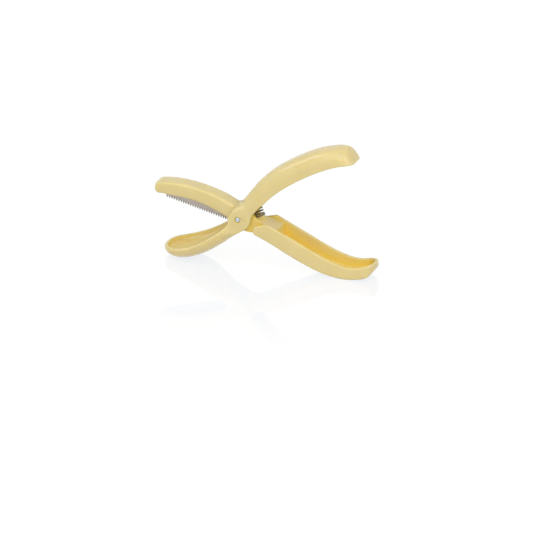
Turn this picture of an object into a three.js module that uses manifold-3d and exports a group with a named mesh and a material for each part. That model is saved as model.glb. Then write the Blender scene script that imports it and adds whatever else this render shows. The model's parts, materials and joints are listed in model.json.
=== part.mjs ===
// Chestnut cutter: two crossed plastic levers on a steel rivet. One lever runs from a spoon-shaped cup
// through a fork to the upper handle, the other from a bladed jaw through a hub to the lower handle.
// Millimetres, +Z up, X along the tool with the handles at +X, Y across it.
// Shapes are drawn about the pivot axis, held open, and the finished tool is then stood on its feet.
import * as THREE from "three";
import { mergeVertices } from "three/addons/utils/BufferGeometryUtils.js";
import Module from "manifold-3d";

const wasm = await Module();
wasm.setup();
const { lerp, smoothstep } = THREE.MathUtils;

// Both levers
const LEVER_WIDTH = 24.2;
const WALL = 2.4;
const RIM_EDGE = 0.6;
const END_ROUND = 2.5;
const PIVOT_HEIGHT = 36.3;

// Cup
const CUP_REACH = 59;
const CUP_WIDTH = 41;
const CUP_FULLNESS = 2.5;
const CUP_WIDEST = -33;
const CUP_HEEL = -14.5;
const CUP_LOWEST = -46.5;
const CUP_TIP_RISE = 5;
const CUP_HEEL_BOTTOM = -22.4;
const CUP_SWEEP = 1.9;
const RIM_TIP = -28.1;
const RIM_TIP_SLOPE = 0.055;
const RIM_CURL = 0.0074;
const BOWL_ACROSS = 0.94;
const BOWL_DEPTH = 0.9;
const FOOT_FLAT = 0.25;

// Fork and upper handle: matching points along the back and the open side, from the cup's heel outwards
const UPPER_END_CORNER = 11;
const CREST_EDGE = 4;
const CHEEK_EDGE = 1.2;
const HEEL_FLARE = 2.2;
const HEEL_CORNER = 3;
const UPPER_BACK = [
  [-14.5, -11.9],
  [-9.4, -6.8],
  [-7.6, -3.2],
  [-7.4, 0.3],
  [-6.2, 3.4],
  [-4.2, 6.7],
  [-0.9, 10.4],
  [2.8, 16.2],
  [8.5, 22.6],
  [14.6, 29.6],
  [22.5, 36.9],
  [31.6, 43.6],
  [45, 51.4],
  [59.5, 58],
  [71.5, 61.2],
  [82.7, 62.6],
];
const UPPER_OPEN = [
  [-12.2, -20.8],
  [-5, -14.6],
  [0.5, -10.2],
  [5.6, -7],
  [9.1, -2.5],
  [10.2, 2.8],
  [12.7, 6.7],
  [16.2, 10.8],
  [19.8, 14.1],
  [24.5, 19.1],
  [31, 25],
  [39, 31.1],
  [52, 39.3],
  [66.5, 46.8],
  [79, 51.5],
  [90.4, 55.2],
];
// Where along those points the heel has faded, the roof begins and the hollow of the handle begins
const HEEL_ENDS = 2.4;
const CAVITY_ENDS = 1.7;
const BRIDGE_ENDS = 2.6;
const CREST_BEGINS = 4.6;
const ROOF_BEGINS = 6.8;
const CHANNEL_BEGINS = 8.4;

// Jaw, hub, neck and the web inside the lower handle: matching points along the top and the underside
const JAW_WIDTH = 14;
const JAW_TOP_EDGE = 4;
const JAW_UNDER_EDGE = 2.5;
const JAW_NOSE = 4.4;
const NECK_EDGE = 0.8;
const HUB_RADIUS = 9.2;
const FORK_CLEARANCE = 0.3;
const HUB_CLEARANCE = 0.6;
const JAW_TOP = [
  [-67, 20],
  [-60.5, 20.9],
  [-50.3, 21.6],
  [-38.6, 20.6],
  [-26.9, 18.2],
  [-15.2, 14.6],
  [-7.4, 10.6],
  [-1.5, 7.2],
  [4, 4.4],
  [9.5, 3],
  [14.6, 0],
  [20, -2.7],
  [24.6, -4.3],
  [28.9, -5.8],
];
const JAW_UNDER = [
  [-67, 11.4],
  [-60.5, 11.4],
  [-50.7, 10.6],
  [-39, 9.4],
  [-27.3, 6.5],
  [-16.5, 2.1],
  [-10, -1.3],
  [-5, -6.6],
  [1.5, -9.1],
  [7, -9.8],
  [13.2, -9.6],
  [18.8, -11.7],
  [24.2, -14.4],
  [29.6, -16.8],
];
// Where along those points the rounded jaw turns into the flat-sided hub, and the neck widens into the web
const JAW_FADES = 6.1;
const HUB_BEGINS = 7.1;
const WEB_BEGINS = 10.5;
const WEB_FULL = 11.2;

// Lower handle: matching points along the open rim and the belly
const LOWER_END_CORNER = 11;
const BELLY_EDGE = 2;
const LOWER_RIM = [
  [12.4, -4.6],
  [14.5, -3],
  [22.3, -1.1],
  [24.6, -1.5],
  [32.7, -5.4],
  [48.3, -12.9],
  [63.9, -20.3],
  [75, -24.4],
  [83.4, -26.5],
  [91.5, -26.4],
  [98, -24.9],
  [104.2, -23.4],
];
const LOWER_BELLY = [
  [12.4, -9.9],
  [13.9, -10.8],
  [17.8, -12.4],
  [20.2, -13.4],
  [28, -17.1],
  [43.5, -25],
  [60, -32],
  [72.6, -35.4],
  [83, -PIVOT_HEIGHT - FOOT_FLAT / 2],
  [94, -35.2],
  [100.5, -32.8],
  [104.5, -28.2],
];

// Blade
const BLADE_THICKNESS = 1;
const BLADE_HEIGHT = 11.5;
const BLADE_FRONT = [-59.2, 7.2];
const BLADE_BACK = [-10.6, -5.2];
const BLADE_FIT = 0.15;
const TOOTH_PITCH = 1.7;
const TOOTH_DEPTH = 1.3;
const ANCHOR_DIAMETER = 3;
const ANCHOR_INSET = 2.9;
const ANCHOR_PLACES = [0.3, 0.7];

// Rivet and washer
const RIVET_DIAMETER = 3;
const RIVET_FIT = 0.08;
const HEAD_DIAMETER = 4.2;
const HEAD_HEIGHT = 1.2;
const HEAD_RECESS = 1.6;
const HEAD_GAP = 0.35;
const WASHER_DIAMETER = 7;
const WASHER_THICKNESS = 0.6;
const SEAT_GAP = 0.1;

// Spring
const SPRING_DIAMETER = 7.6;
const SPRING_WIRE = 0.8;
const SPRING_COILS = 8;
const SPRING_DEAD_COILS = 1;
const SPRING_FOOT = [14.3, 0.9];
const SPRING_LENGTH = 15.1;
const SPRING_LEAN = 22;
const SPIGOT_FIT = 0.4;
const SPIGOT_HEIGHT = 2.2;
const BOSS_RIM = 0.6;
const BOSS_ROOT = 14;
const POCKET_ROOM = 0.4;
const POCKET_DEEP = 12;
const POST_ROOT = 5;

// Fineness of the facets, and how far a cut runs past the surface it opens
const CORNER_STEPS = 4;
const STEPS_PER_SPAN = 2;
const END_STEPS = 7;
const CUP_STEPS = 15;
const TIP_STUB = 0.12;
const ROUND_SIDES = 28;
const DOME_STEPS = 4;
const WIRE_SIDES = 8;
const STEPS_PER_COIL = 14;
const PAST = 4;
const FINEST = 0.004;

const cream = { color: 0xe2cf94, roughness: 0.42, metalness: 0 };
const steel = { color: 0xc3c5c8, roughness: 0.3, metalness: 1 };

// Closed geometry to a solid, with its faces turned outwards.
function solid(geometry) {
  const bare = geometry.index ? geometry.toNonIndexed() : geometry.clone();
  bare.deleteAttribute("normal");
  bare.deleteAttribute("uv");
  const merged = mergeVertices(bare, 1e-4);
  const vertProperties = merged.attributes.position.array;
  const triVerts = new Uint32Array(merged.index.array);
  const made = new wasm.Manifold(new wasm.Mesh({ numProp: 3, vertProperties, triVerts }));
  if (made.volume() > 0) return made;
  triVerts.reverse();
  return new wasm.Manifold(new wasm.Mesh({ numProp: 3, vertProperties, triVerts }));
}

// A solid as a named mesh.
function meshOf(name, body, finish) {
  const { vertProperties, triVerts, numProp } = body.setTolerance(FINEST).getMesh();
  const rows = new THREE.InterleavedBuffer(vertProperties, numProp);
  const geometry = new THREE.BufferGeometry();
  geometry.setAttribute("position", new THREE.InterleavedBufferAttribute(rows, 3, 0));
  geometry.setIndex(new THREE.BufferAttribute(triVerts, 1));
  const faceted = geometry.toNonIndexed();
  faceted.computeVertexNormals();
  const mesh = new THREE.Mesh(faceted, new THREE.MeshStandardMaterial(finish));
  mesh.name = name;
  return mesh;
}

// A smooth run through points, read by point number.
function rail(points) {
  const curve = new THREE.SplineCurve(points.map(([x, z]) => new THREE.Vector2(x, z)));
  return (place) => curve.getPoint(place / (points.length - 1));
}

// Places along a rail from one point number to another: even steps, then closer ones into a rounded end.
function places(from, to, roundedSpan) {
  const even = [];
  for (let place = from; place < to - roundedSpan - 0.2; place += 1 / STEPS_PER_SPAN) even.push(place);
  const closer = Array.from({ length: END_STEPS + 1 }, (_, step) => {
    return to - roundedSpan * (1 - Math.sin(((step / END_STEPS) * Math.PI) / 2));
  });
  return [...even, ...closer];
}

// How far a rounded end draws in at a depth behind its last point.
function roundIn(radius, depth) {
  const left = Math.max(radius - depth, 0);
  return radius - Math.sqrt(radius ** 2 - left ** 2);
}

// A section drawn in from the sides, from below and from above, as at the rounded end of a bar.
function drawIn(section, [side, below, above], depth) {
  const up = section.high.clone().sub(section.low);
  const most = up.length() / 2 - TIP_STUB;
  up.normalize();
  const low = section.low.clone().addScaledVector(up, Math.min(roundIn(below, depth), most));
  const high = section.high.clone().addScaledVector(up, -Math.min(roundIn(above, depth), most));
  return { ...section, low, high, half: section.half - roundIn(side, depth) };
}

// The ring of points round a section. It stands on the line from low to high and reaches half to each
// side, and its corners are quarter ellipses, each given as a size across and a size along the line.
function ring({ low, high, half, lowRound, highRound }) {
  const height = low.distanceTo(high);
  const up = high.clone().sub(low).normalize();
  const lowTall = Math.min(lowRound[1], height * 0.9);
  const highTall = Math.min(highRound[1], height - lowTall);
  const corners = [
    [1, lowTall, lowRound[0], lowTall],
    [1, height - highTall, highRound[0], highTall],
    [-1, height - highTall, highRound[0], highTall],
    [-1, lowTall, lowRound[0], lowTall],
  ];
  return corners.flatMap(([side, middle, wide, tall], corner) => {
    const reach = Math.min(wide, half);
    return Array.from({ length: CORNER_STEPS + 1 }, (_, step) => {
      const angle = ((corner - 1 + step / CORNER_STEPS) * Math.PI) / 2;
      const level = middle + tall * Math.sin(angle);
      const y = side * (half - reach) + reach * Math.cos(angle);
      return new THREE.Vector3(low.x + up.x * level, y, low.y + up.y * level);
    });
  });
}

// A closed solid through the rings of successive sections, with flat ends.
function loft(sections) {
  const rings = sections.map(ring);
  const count = rings[0].length;
  const last = (rings.length - 1) * count;
  const middle = (points) => points.reduce((sum, p) => sum.add(p), new THREE.Vector3()).divideScalar(count);
  const points = [...rings.flat(), middle(rings[0]), middle(rings.at(-1))];
  const startMiddle = points.length - 2;
  const index = [];
  for (let i = 0; i < count; i++) {
    const next = (i + 1) % count;
    for (let row = 0; row < last; row += count) {
      index.push(row + i, row + next, row + count + next);
      index.push(row + i, row + count + next, row + count + i);
    }
    index.push(startMiddle, next, i);
    index.push(startMiddle + 1, last + i, last + next);
  }
  return solid(new THREE.BufferGeometry().setFromPoints(points).setIndex(index));
}

// A side outline in X and Z, given a thickness across Y about the middle plane.
function plate(shape, thickness) {
  const settings = { depth: thickness, bevelEnabled: false, curveSegments: ROUND_SIDES / 2 };
  const geometry = new THREE.ExtrudeGeometry(shape, settings);
  geometry.translate(0, 0, -thickness / 2);
  geometry.rotateX(Math.PI / 2);
  return solid(geometry);
}

// A round bar across the tool, from one Y to another, at a place in X and Z.
function crossBar(radius, fromY, toY, x = 0, z = 0) {
  const geometry = new THREE.CylinderGeometry(radius, radius, toY - fromY, ROUND_SIDES);
  geometry.translate(x, (fromY + toY) / 2, z);
  return solid(geometry);
}

const leverHalf = LEVER_WIDTH / 2;
const slotHalf = JAW_WIDTH / 2 + FORK_CLEARANCE;
const rimRound = [RIM_EDGE, RIM_EDGE];

// What lies under the floor plane, cut off to leave a flat foot.
const reachLeft = -CUP_REACH - PAST;
const reachRight = LOWER_BELLY.at(-1)[0] + PAST;
const underFloor = plate(
  new THREE.Shape([
    new THREE.Vector2(reachLeft, -PIVOT_HEIGHT - PAST),
    new THREE.Vector2(reachRight, -PIVOT_HEIGHT - PAST),
    new THREE.Vector2(reachRight, -PIVOT_HEIGHT),
    new THREE.Vector2(reachLeft, -PIVOT_HEIGHT),
  ]),
  CUP_WIDTH + PAST,
);

// Cup: the height of its rim, then the height of its underside and its half width inside a wall.
function rimHeight(x) {
  const run = x + CUP_REACH;
  return RIM_TIP + RIM_TIP_SLOPE * run + RIM_CURL * run ** 2;
}
function underHeight(x, wall) {
  const lowest = -PIVOT_HEIGHT - FOOT_FLAT;
  if (x > CUP_LOWEST) {
    const share = (x - CUP_LOWEST) / (CUP_HEEL - CUP_LOWEST);
    return lowest + wall + (CUP_HEEL_BOTTOM - lowest) * share ** CUP_SWEEP;
  }
  const share = (CUP_LOWEST - x) / (CUP_REACH + CUP_LOWEST - wall);
  return lowest + wall + CUP_TIP_RISE * (1 - Math.sqrt(1 - share ** 2));
}
function cupHalf(x, wall) {
  const widest = CUP_WIDTH / 2 - wall;
  if (x < CUP_WIDEST) {
    const share = (CUP_WIDEST - x) / (CUP_REACH + CUP_WIDEST - wall);
    return widest * (1 - share ** CUP_FULLNESS) ** (1 / CUP_FULLNESS);
  }
  const share = smoothstep(x, CUP_WIDEST, CUP_HEEL);
  return lerp(widest, leverHalf + HEEL_FLARE - wall, share);
}

// Cup sections from the tip to the heel: the outside with no wall, or the hollow inside a wall.
function cupSections(wall) {
  const tip = TIP_STUB + wall - CUP_REACH;
  return Array.from({ length: CUP_STEPS }, (_, step) => {
    const x = tip + (CUP_HEEL - tip) * (1 - Math.cos(((step / CUP_STEPS) * Math.PI) / 2));
    const floor = underHeight(x, wall);
    const rim = Math.max(rimHeight(x), floor + RIM_EDGE);
    const half = cupHalf(x, wall);
    return {
      low: new THREE.Vector2(x, floor),
      high: new THREE.Vector2(x, wall ? rim + PAST : rim),
      half,
      lowRound: [half * BOWL_ACROSS, (rim - floor) * BOWL_DEPTH],
      highRound: rimRound,
    };
  });
}

// Fork and upper handle sections, by point number along the two rails.
const upperBack = rail(UPPER_BACK);
const upperOpen = rail(UPPER_OPEN);
const upperEnd = UPPER_BACK.length - 1;
const upperSpan = upperOpen(upperEnd).distanceTo(upperOpen(upperEnd - 1));
function upperSection(place) {
  const low = upperOpen(place);
  const high = upperBack(place);
  const heel = 1 - smoothstep(place, 0, HEEL_ENDS);
  const roof = smoothstep(place, ROOF_BEGINS - 1, CHANNEL_BEGINS);
  const crest = smoothstep(place, CREST_BEGINS, ROOF_BEGINS);
  const half = leverHalf + HEEL_FLARE * heel;
  const openEdge = lerp(CHEEK_EDGE, RIM_EDGE, roof);
  const backEdge = lerp(lerp(CHEEK_EDGE, RIM_EDGE, heel), CREST_EDGE, crest);
  const lowRound = [
    lerp(openEdge, half * BOWL_ACROSS, heel),
    lerp(openEdge, low.distanceTo(high) * BOWL_DEPTH, heel),
  ];
  return { low, high, half, lowRound, highRound: [backEdge, backEdge] };
}
function upperOutside() {
  const rounds = [UPPER_END_CORNER, RIM_EDGE, END_ROUND];
  return places(0, upperEnd, UPPER_END_CORNER / upperSpan).map((place) => {
    return drawIn(upperSection(place), rounds, (upperEnd - place) * upperSpan);
  });
}

// The hollow under the handle's roof, inside its walls and its end.
function upperChannel() {
  const end = upperEnd - WALL / upperSpan;
  const corner = UPPER_END_CORNER - WALL;
  return places(CHANNEL_BEGINS, end, corner / upperSpan).map((place) => {
    const outside = upperSection(place);
    const up = outside.high.clone().sub(outside.low).normalize();
    const round = Math.max(CREST_EDGE - WALL, RIM_EDGE);
    return {
      low: outside.low.clone().addScaledVector(up, -PAST),
      high: outside.high.clone().addScaledVector(up, -WALL),
      half: outside.half - WALL - roundIn(corner, (end - place) * upperSpan),
      lowRound: rimRound,
      highRound: [round, round],
    };
  });
}

// The hollow of the cup, carried on into the heel of the fork.
function cupCavity() {
  const span = upperOpen(1).distanceTo(upperOpen(0));
  const heel = places(0, CAVITY_ENDS, HEEL_CORNER / span).map((place) => {
    const outside = upperSection(place);
    const up = outside.high.clone().sub(outside.low).normalize();
    const depth = (CAVITY_ENDS - place) * span;
    return {
      ...outside,
      low: outside.low.clone().addScaledVector(up, WALL + roundIn(HEEL_CORNER, depth)),
      high: outside.high.clone().addScaledVector(up, PAST),
      half: outside.half - WALL - roundIn(HEEL_CORNER, depth),
      highRound: rimRound,
    };
  });
  return loft([...cupSections(WALL), ...heel]);
}

// The slot between the cheeks: round the hub, out to the neck's side, and up to the underside of the roof.
function forkSlot() {
  const inset = (place, depth) => {
    const inwards = upperOpen(place).sub(upperBack(place)).normalize();
    return upperBack(place).addScaledVector(inwards, depth);
  };
  const beyond = (place) => {
    const outwards = upperOpen(place).sub(upperBack(place)).setLength(PAST);
    return upperOpen(place).add(outwards);
  };
  const shape = new THREE.Shape();
  const start = inset(ROOF_BEGINS, -PAST);
  shape.moveTo(start.x, start.y);
  const roof = [ROOF_BEGINS, 8, 8.5, 9].map((place) => inset(place, WALL));
  const neckSide = [9, 7, 5, 4, 3, BRIDGE_ENDS].map(beyond);
  [...roof, ...neckSide].forEach((p) => shape.lineTo(p.x, p.y));
  const bridge = upperOpen(BRIDGE_ENDS).angle();
  shape.absarc(0, 0, HUB_RADIUS + HUB_CLEARANCE, bridge, Math.PI, true);
  const jawSide = [inset(1, -2 * PAST), inset(4, -2 * PAST)];
  jawSide.forEach((p) => shape.lineTo(p.x, p.y));
  return plate(shape, 2 * slotHalf);
}

// Rivet: seats of the head and of the washer, then the turned outline from the head to the closed end.
const headSeat = -leverHalf + HEAD_RECESS;
const washerSeat = leverHalf - HEAD_RECESS - WASHER_THICKNESS - SEAT_GAP;
const washerTop = washerSeat + SEAT_GAP + WASHER_THICKNESS;
const rivetRadius = RIVET_DIAMETER / 2;
const boreRadius = rivetRadius + RIVET_FIT;
const headRadius = HEAD_DIAMETER / 2;
function pivotRivet() {
  const dome = (seat, way) => {
    return Array.from({ length: DOME_STEPS + 1 }, (_, step) => {
      const angle = ((step / DOME_STEPS) * Math.PI) / 2;
      const out = HEAD_HEIGHT * (0.4 + 0.6 * Math.sin(angle));
      return new THREE.Vector2(headRadius * Math.cos(angle), seat + way * out);
    });
  };
  const front = headSeat - SEAT_GAP;
  const back = washerTop + SEAT_GAP;
  const profile = [
    ...dome(front, -1).reverse(),
    new THREE.Vector2(headRadius, front),
    new THREE.Vector2(rivetRadius, front),
    new THREE.Vector2(rivetRadius, back),
    new THREE.Vector2(headRadius, back),
    ...dome(back, 1),
  ];
  profile[0].x = 0;
  profile.at(-1).x = 0;
  return solid(new THREE.LatheGeometry(profile, ROUND_SIDES));
}
function rivetWasher() {
  const inner = boreRadius;
  const outer = WASHER_DIAMETER / 2;
  const low = washerSeat + SEAT_GAP;
  const corners = [
    [inner, low],
    [outer, low],
    [outer, washerTop],
    [inner, washerTop],
    [inner, low],
  ];
  const profile = corners.map(([r, y]) => new THREE.Vector2(r, y));
  return solid(new THREE.LatheGeometry(profile, ROUND_SIDES));
}

// Spring: the line it stands on, its two seats, and the wire.
const lean = THREE.MathUtils.degToRad(SPRING_LEAN);
const springAxis = new THREE.Vector3(-Math.sin(lean), 0, Math.cos(lean));
const springFoot = new THREE.Vector3(SPRING_FOOT[0], 0, SPRING_FOOT[1]);
const springHead = springFoot.clone().addScaledVector(springAxis, SPRING_LENGTH + 2 * SEAT_GAP);
const bossRadius = SPRING_DIAMETER / 2 + BOSS_RIM;
const spigotRadius = SPRING_DIAMETER / 2 - SPRING_WIRE - SPIGOT_FIT;
const pocketRadius = SPRING_DIAMETER / 2 + POCKET_ROOM;

// A round bar along the spring's line, from one distance to another from a seat.
function springBar(radius, seat, from, to) {
  const geometry = new THREE.CylinderGeometry(radius, radius, to - from, ROUND_SIDES);
  geometry.translate(0, (from + to) / 2, 0);
  const turn = new THREE.Quaternion().setFromUnitVectors(new THREE.Vector3(0, 1, 0), springAxis);
  geometry.applyQuaternion(turn);
  geometry.translate(seat.x, seat.y, seat.z);
  return solid(geometry);
}

// The middle line of the wire: closed coils at both ends and even coils between them.
class CoilLine extends THREE.Curve {
  getPoint(share, target = new THREE.Vector3()) {
    const coil = share * SPRING_COILS;
    const radius = (SPRING_DIAMETER - SPRING_WIRE) / 2;
    const closed = SPRING_WIRE * 1.1;
    const live = SPRING_COILS - 2 * SPRING_DEAD_COILS;
    const open = (SPRING_LENGTH - SPRING_WIRE - 2 * SPRING_DEAD_COILS * closed) / live;
    const into = THREE.MathUtils.clamp(coil - SPRING_DEAD_COILS, 0, live);
    const rise = closed * (coil - into) + open * into;
    const side = new THREE.Vector3(0, 1, 0);
    const front = new THREE.Vector3().crossVectors(side, springAxis);
    const angle = 2 * Math.PI * coil;
    target.copy(springFoot).addScaledVector(springAxis, SEAT_GAP + SPRING_WIRE / 2 + rise);
    target.addScaledVector(side, radius * Math.cos(angle));
    return target.addScaledVector(front, radius * Math.sin(angle));
  }
}
function openingSpring() {
  const wire = new THREE.Shape().absarc(0, 0, SPRING_WIRE / 2, 0, 2 * Math.PI);
  const settings = {
    steps: Math.round(SPRING_COILS * STEPS_PER_COIL),
    curveSegments: WIRE_SIDES / 2,
    extrudePath: new CoilLine(),
  };
  return solid(new THREE.ExtrudeGeometry(wire, settings));
}

// Cup lever: one skin from the cup's tip to the handle's end, hollowed at both ends and forked between.
function cupLever() {
  const skin = loft([...cupSections(0), ...upperOutside()]);
  const boss = springBar(bossRadius, springHead, 0, BOSS_ROOT).intersect(skin);
  const spigot = springBar(spigotRadius, springHead, -SPIGOT_HEIGHT, BOSS_RIM);
  return skin
    .subtract(cupCavity())
    .subtract(loft(upperChannel()))
    .subtract(forkSlot())
    .add(boss)
    .add(spigot)
    .subtract(crossBar(boreRadius, -leverHalf - PAST, leverHalf + PAST))
    .subtract(crossBar(headRadius + HEAD_GAP, -leverHalf - PAST, headSeat))
    .subtract(crossBar(WASHER_DIAMETER / 2 + HEAD_GAP, washerSeat, leverHalf + PAST))
    .subtract(underFloor);
}

// Jaw, hub, neck and web as one bar, rounded at the nose and along the jaw.
function jawBar() {
  const top = rail(JAW_TOP);
  const under = rail(JAW_UNDER);
  const end = JAW_TOP.length - 1;
  const span = top(1).distanceTo(top(0));
  const fromNose = places(0, end, JAW_NOSE / span).map((place) => end - place);
  const sections = fromNose.map((place) => {
    const hub = smoothstep(place, JAW_FADES, HUB_BEGINS);
    const web = smoothstep(place, WEB_BEGINS, WEB_FULL);
    const topEdge = lerp(JAW_TOP_EDGE, NECK_EDGE, hub);
    const underEdge = lerp(JAW_UNDER_EDGE, NECK_EDGE, hub);
    const section = {
      low: under(place),
      high: top(place),
      half: lerp(JAW_WIDTH / 2, leverHalf - WALL / 2, web),
      lowRound: [underEdge, underEdge],
      highRound: [topEdge, topEdge],
    };
    return drawIn(section, [JAW_NOSE, JAW_NOSE, JAW_NOSE], place * span);
  });
  return loft(sections);
}

// Lower handle: a channel open at the top and at the neck.
function lowerHandle() {
  const rim = rail(LOWER_RIM);
  const belly = rail(LOWER_BELLY);
  const end = LOWER_RIM.length - 1;
  const span = rim(end).distanceTo(rim(end - 1));
  const section = (place) => ({
    low: belly(place),
    high: rim(place),
    half: leverHalf,
    lowRound: [BELLY_EDGE, BELLY_EDGE],
    highRound: rimRound,
  });
  const rounds = [LOWER_END_CORNER, END_ROUND, RIM_EDGE];
  const outside = places(0, end, LOWER_END_CORNER / span).map((place) => {
    return drawIn(section(place), rounds, (end - place) * span);
  });
  const innerEnd = end - WALL / span;
  const corner = LOWER_END_CORNER - WALL;
  const inside = places(0, innerEnd, corner / span).map((place) => {
    const { low, high } = section(place);
    const up = high.clone().sub(low).normalize();
    return {
      low: low.clone().addScaledVector(up, WALL),
      high: high.clone().addScaledVector(up, PAST),
      half: leverHalf - WALL - roundIn(corner, (innerEnd - place) * span),
      lowRound: rimRound,
      highRound: rimRound,
    };
  });
  const mouth = { ...inside[0], low: inside[0].low.clone(), high: inside[0].high.clone() };
  mouth.low.x -= PAST;
  mouth.high.x -= PAST;
  return loft(outside).subtract(loft([mouth, ...inside]));
}

// Blade: a strip along the tooth line, standing up into the jaw.
const toothStart = new THREE.Vector2(...BLADE_FRONT);
const toothEnd = new THREE.Vector2(...BLADE_BACK);
const bladeLength = toothStart.distanceTo(toothEnd);
const bladeAlong = toothEnd.clone().sub(toothStart).normalize();
const bladeUp = new THREE.Vector2(-bladeAlong.y, bladeAlong.x);
function onBlade(along, up) {
  return toothStart.clone().addScaledVector(bladeAlong, along).addScaledVector(bladeUp, up);
}
const anchors = ANCHOR_PLACES.map((share) => onBlade(share * bladeLength, BLADE_HEIGHT - ANCHOR_INSET));

function serratedBlade() {
  const teeth = Math.floor(bladeLength / TOOTH_PITCH);
  const pitch = bladeLength / teeth;
  const edge = Array.from({ length: teeth }, (_, tooth) => [
    onBlade(tooth * pitch, TOOTH_DEPTH),
    onBlade((tooth + 0.5) * pitch, 0),
  ]).flat();
  const top = [onBlade(bladeLength, BLADE_HEIGHT), onBlade(0, BLADE_HEIGHT)];
  const shape = new THREE.Shape([...edge, onBlade(bladeLength, TOOTH_DEPTH), ...top]);
  shape.holes = anchors.map((p) => new THREE.Path().absarc(p.x, p.y, ANCHOR_DIAMETER / 2, 0, 2 * Math.PI));
  return plate(shape, BLADE_THICKNESS);
}

// The slot for the blade in the jaw, with a plug of the jaw left standing in each anchor hole.
function bladeSlot() {
  const shape = new THREE.Shape([
    onBlade(-BLADE_FIT, -PAST),
    onBlade(bladeLength + BLADE_FIT, -PAST),
    onBlade(bladeLength + BLADE_FIT, BLADE_HEIGHT + BLADE_FIT),
    onBlade(-BLADE_FIT, BLADE_HEIGHT + BLADE_FIT),
  ]);
  const plugRadius = ANCHOR_DIAMETER / 2 - BLADE_FIT;
  shape.holes = anchors.map((p) => new THREE.Path().absarc(p.x, p.y, plugRadius, 0, 2 * Math.PI));
  return plate(shape, BLADE_THICKNESS + 2 * BLADE_FIT);
}

// Blade lever: the handle's channel, the bar from jaw to web, the hub, and the pocket and post for the spring.
function bladeLever() {
  const jawHalf = JAW_WIDTH / 2;
  return lowerHandle()
    .add(jawBar())
    .add(crossBar(HUB_RADIUS, -jawHalf, jawHalf))
    .subtract(springBar(pocketRadius, springFoot, 0, POCKET_DEEP))
    .add(springBar(spigotRadius, springFoot, -POST_ROOT, SPIGOT_HEIGHT))
    .subtract(crossBar(boreRadius, -leverHalf, leverHalf))
    .subtract(bladeSlot())
    .subtract(underFloor);
}

// The tool stands on the floor plane with its length and width centred on the origin.
const tool = new THREE.Group();
tool.add(meshOf("cup_lever", cupLever(), cream));
tool.add(meshOf("blade_lever", bladeLever(), cream));
tool.add(meshOf("serrated_blade", serratedBlade(), steel));
tool.add(meshOf("pivot_rivet", pivotRivet(), steel));
tool.add(meshOf("rivet_washer", rivetWasher(), steel));
tool.add(meshOf("opening_spring", openingSpring(), steel));
const bounds = new THREE.Box3().setFromObject(tool);
const middle = bounds.getCenter(new THREE.Vector3());
tool.position.set(-middle.x, -middle.y, -bounds.min.z);

const cutter = new THREE.Group();
cutter.add(tool);

export default cutter;
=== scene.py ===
"""Chestnut cutter in a white studio: two crossed plastic levers, a toothed blade, a rivet and a spring.

Every shape is worked out in millimetres about the pivot, X along the tool with the handles at +X, Y across
it and Z up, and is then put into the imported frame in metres.
"""

from __future__ import annotations

import json
import logging
import math
from dataclasses import dataclass, field, fields, replace
from enum import Enum
from typing import Any, Callable, Sequence

import bmesh
import bpy
import numpy as np
from mathutils import Matrix, Vector

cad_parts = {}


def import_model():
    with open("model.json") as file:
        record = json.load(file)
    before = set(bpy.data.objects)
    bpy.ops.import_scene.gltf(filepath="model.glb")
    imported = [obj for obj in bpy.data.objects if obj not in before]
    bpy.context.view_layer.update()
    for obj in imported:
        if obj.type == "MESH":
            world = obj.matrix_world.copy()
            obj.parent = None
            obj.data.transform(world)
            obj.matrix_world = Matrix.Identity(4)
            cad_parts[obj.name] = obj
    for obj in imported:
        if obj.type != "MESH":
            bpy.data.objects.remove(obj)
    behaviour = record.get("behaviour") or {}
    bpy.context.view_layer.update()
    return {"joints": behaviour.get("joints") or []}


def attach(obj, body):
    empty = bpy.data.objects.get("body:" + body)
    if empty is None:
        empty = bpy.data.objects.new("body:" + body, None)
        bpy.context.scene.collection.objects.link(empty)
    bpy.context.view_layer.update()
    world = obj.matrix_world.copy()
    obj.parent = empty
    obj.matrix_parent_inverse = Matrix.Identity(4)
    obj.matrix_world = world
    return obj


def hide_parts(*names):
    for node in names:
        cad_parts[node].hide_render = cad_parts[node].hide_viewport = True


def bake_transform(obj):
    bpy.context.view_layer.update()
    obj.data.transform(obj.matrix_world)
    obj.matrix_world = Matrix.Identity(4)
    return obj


log = logging.getLogger("chestnut_cutter")

Array = np.ndarray
Pair = tuple[float, float]
Triple = tuple[float, float, float]
Colour = tuple[float, float, float, float]
Points = Sequence[Pair]
Socket = bpy.types.NodeSocket

IMAGE_SIZE = 533
MILLIMETRE = 0.001
WHITE: Colour = (1, 1, 1, 1)

# Steps of a small turn, of a bowl and of a circle, and rows between two rail points and in a rounded end.
ARC_STEPS = 5
BOWL_STEPS = 14
ROUND_SIDES = 56
ROWS_PER_SPAN = 6
END_ROWS = 12

# The step across an upright wall, in point numbers, and the least width between two edges.
HAIR = 0.001
SLIVER = 0.02

# How far a cutter runs past what it cuts, the largest share of a height or a half width that a rounding
# takes, and half the height that is left at a rounded end.
PAST = 4.0
ROUND_SHARE = 0.9
LEFT_AT_END = 0.12

# Distances within which vertices are merged: in a new mesh, after the cuts and after the softening, and
# the segments of a softened edge.
MERGE_NEW = 1e-4
MERGE_CUT = 0.04
MERGE_SOFT = 0.01
SOFT_SEGMENTS = 2


class Cut(Enum):
    """How a tool shape works on a blank."""

    ADD = "UNION"
    TAKE = "DIFFERENCE"
    KEEP_COMMON = "INTERSECT"


class Slot(Enum):
    """The record's material slots."""

    LEVER = "lever_plastic"
    BLADE = "blade_steel"
    RIVET = "rivet_steel"
    SPRING = "spring_steel"


class Body(Enum):
    """The two bodies of the hinge."""

    CUP = "cup_body"
    BLADE = "blade_body"


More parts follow.
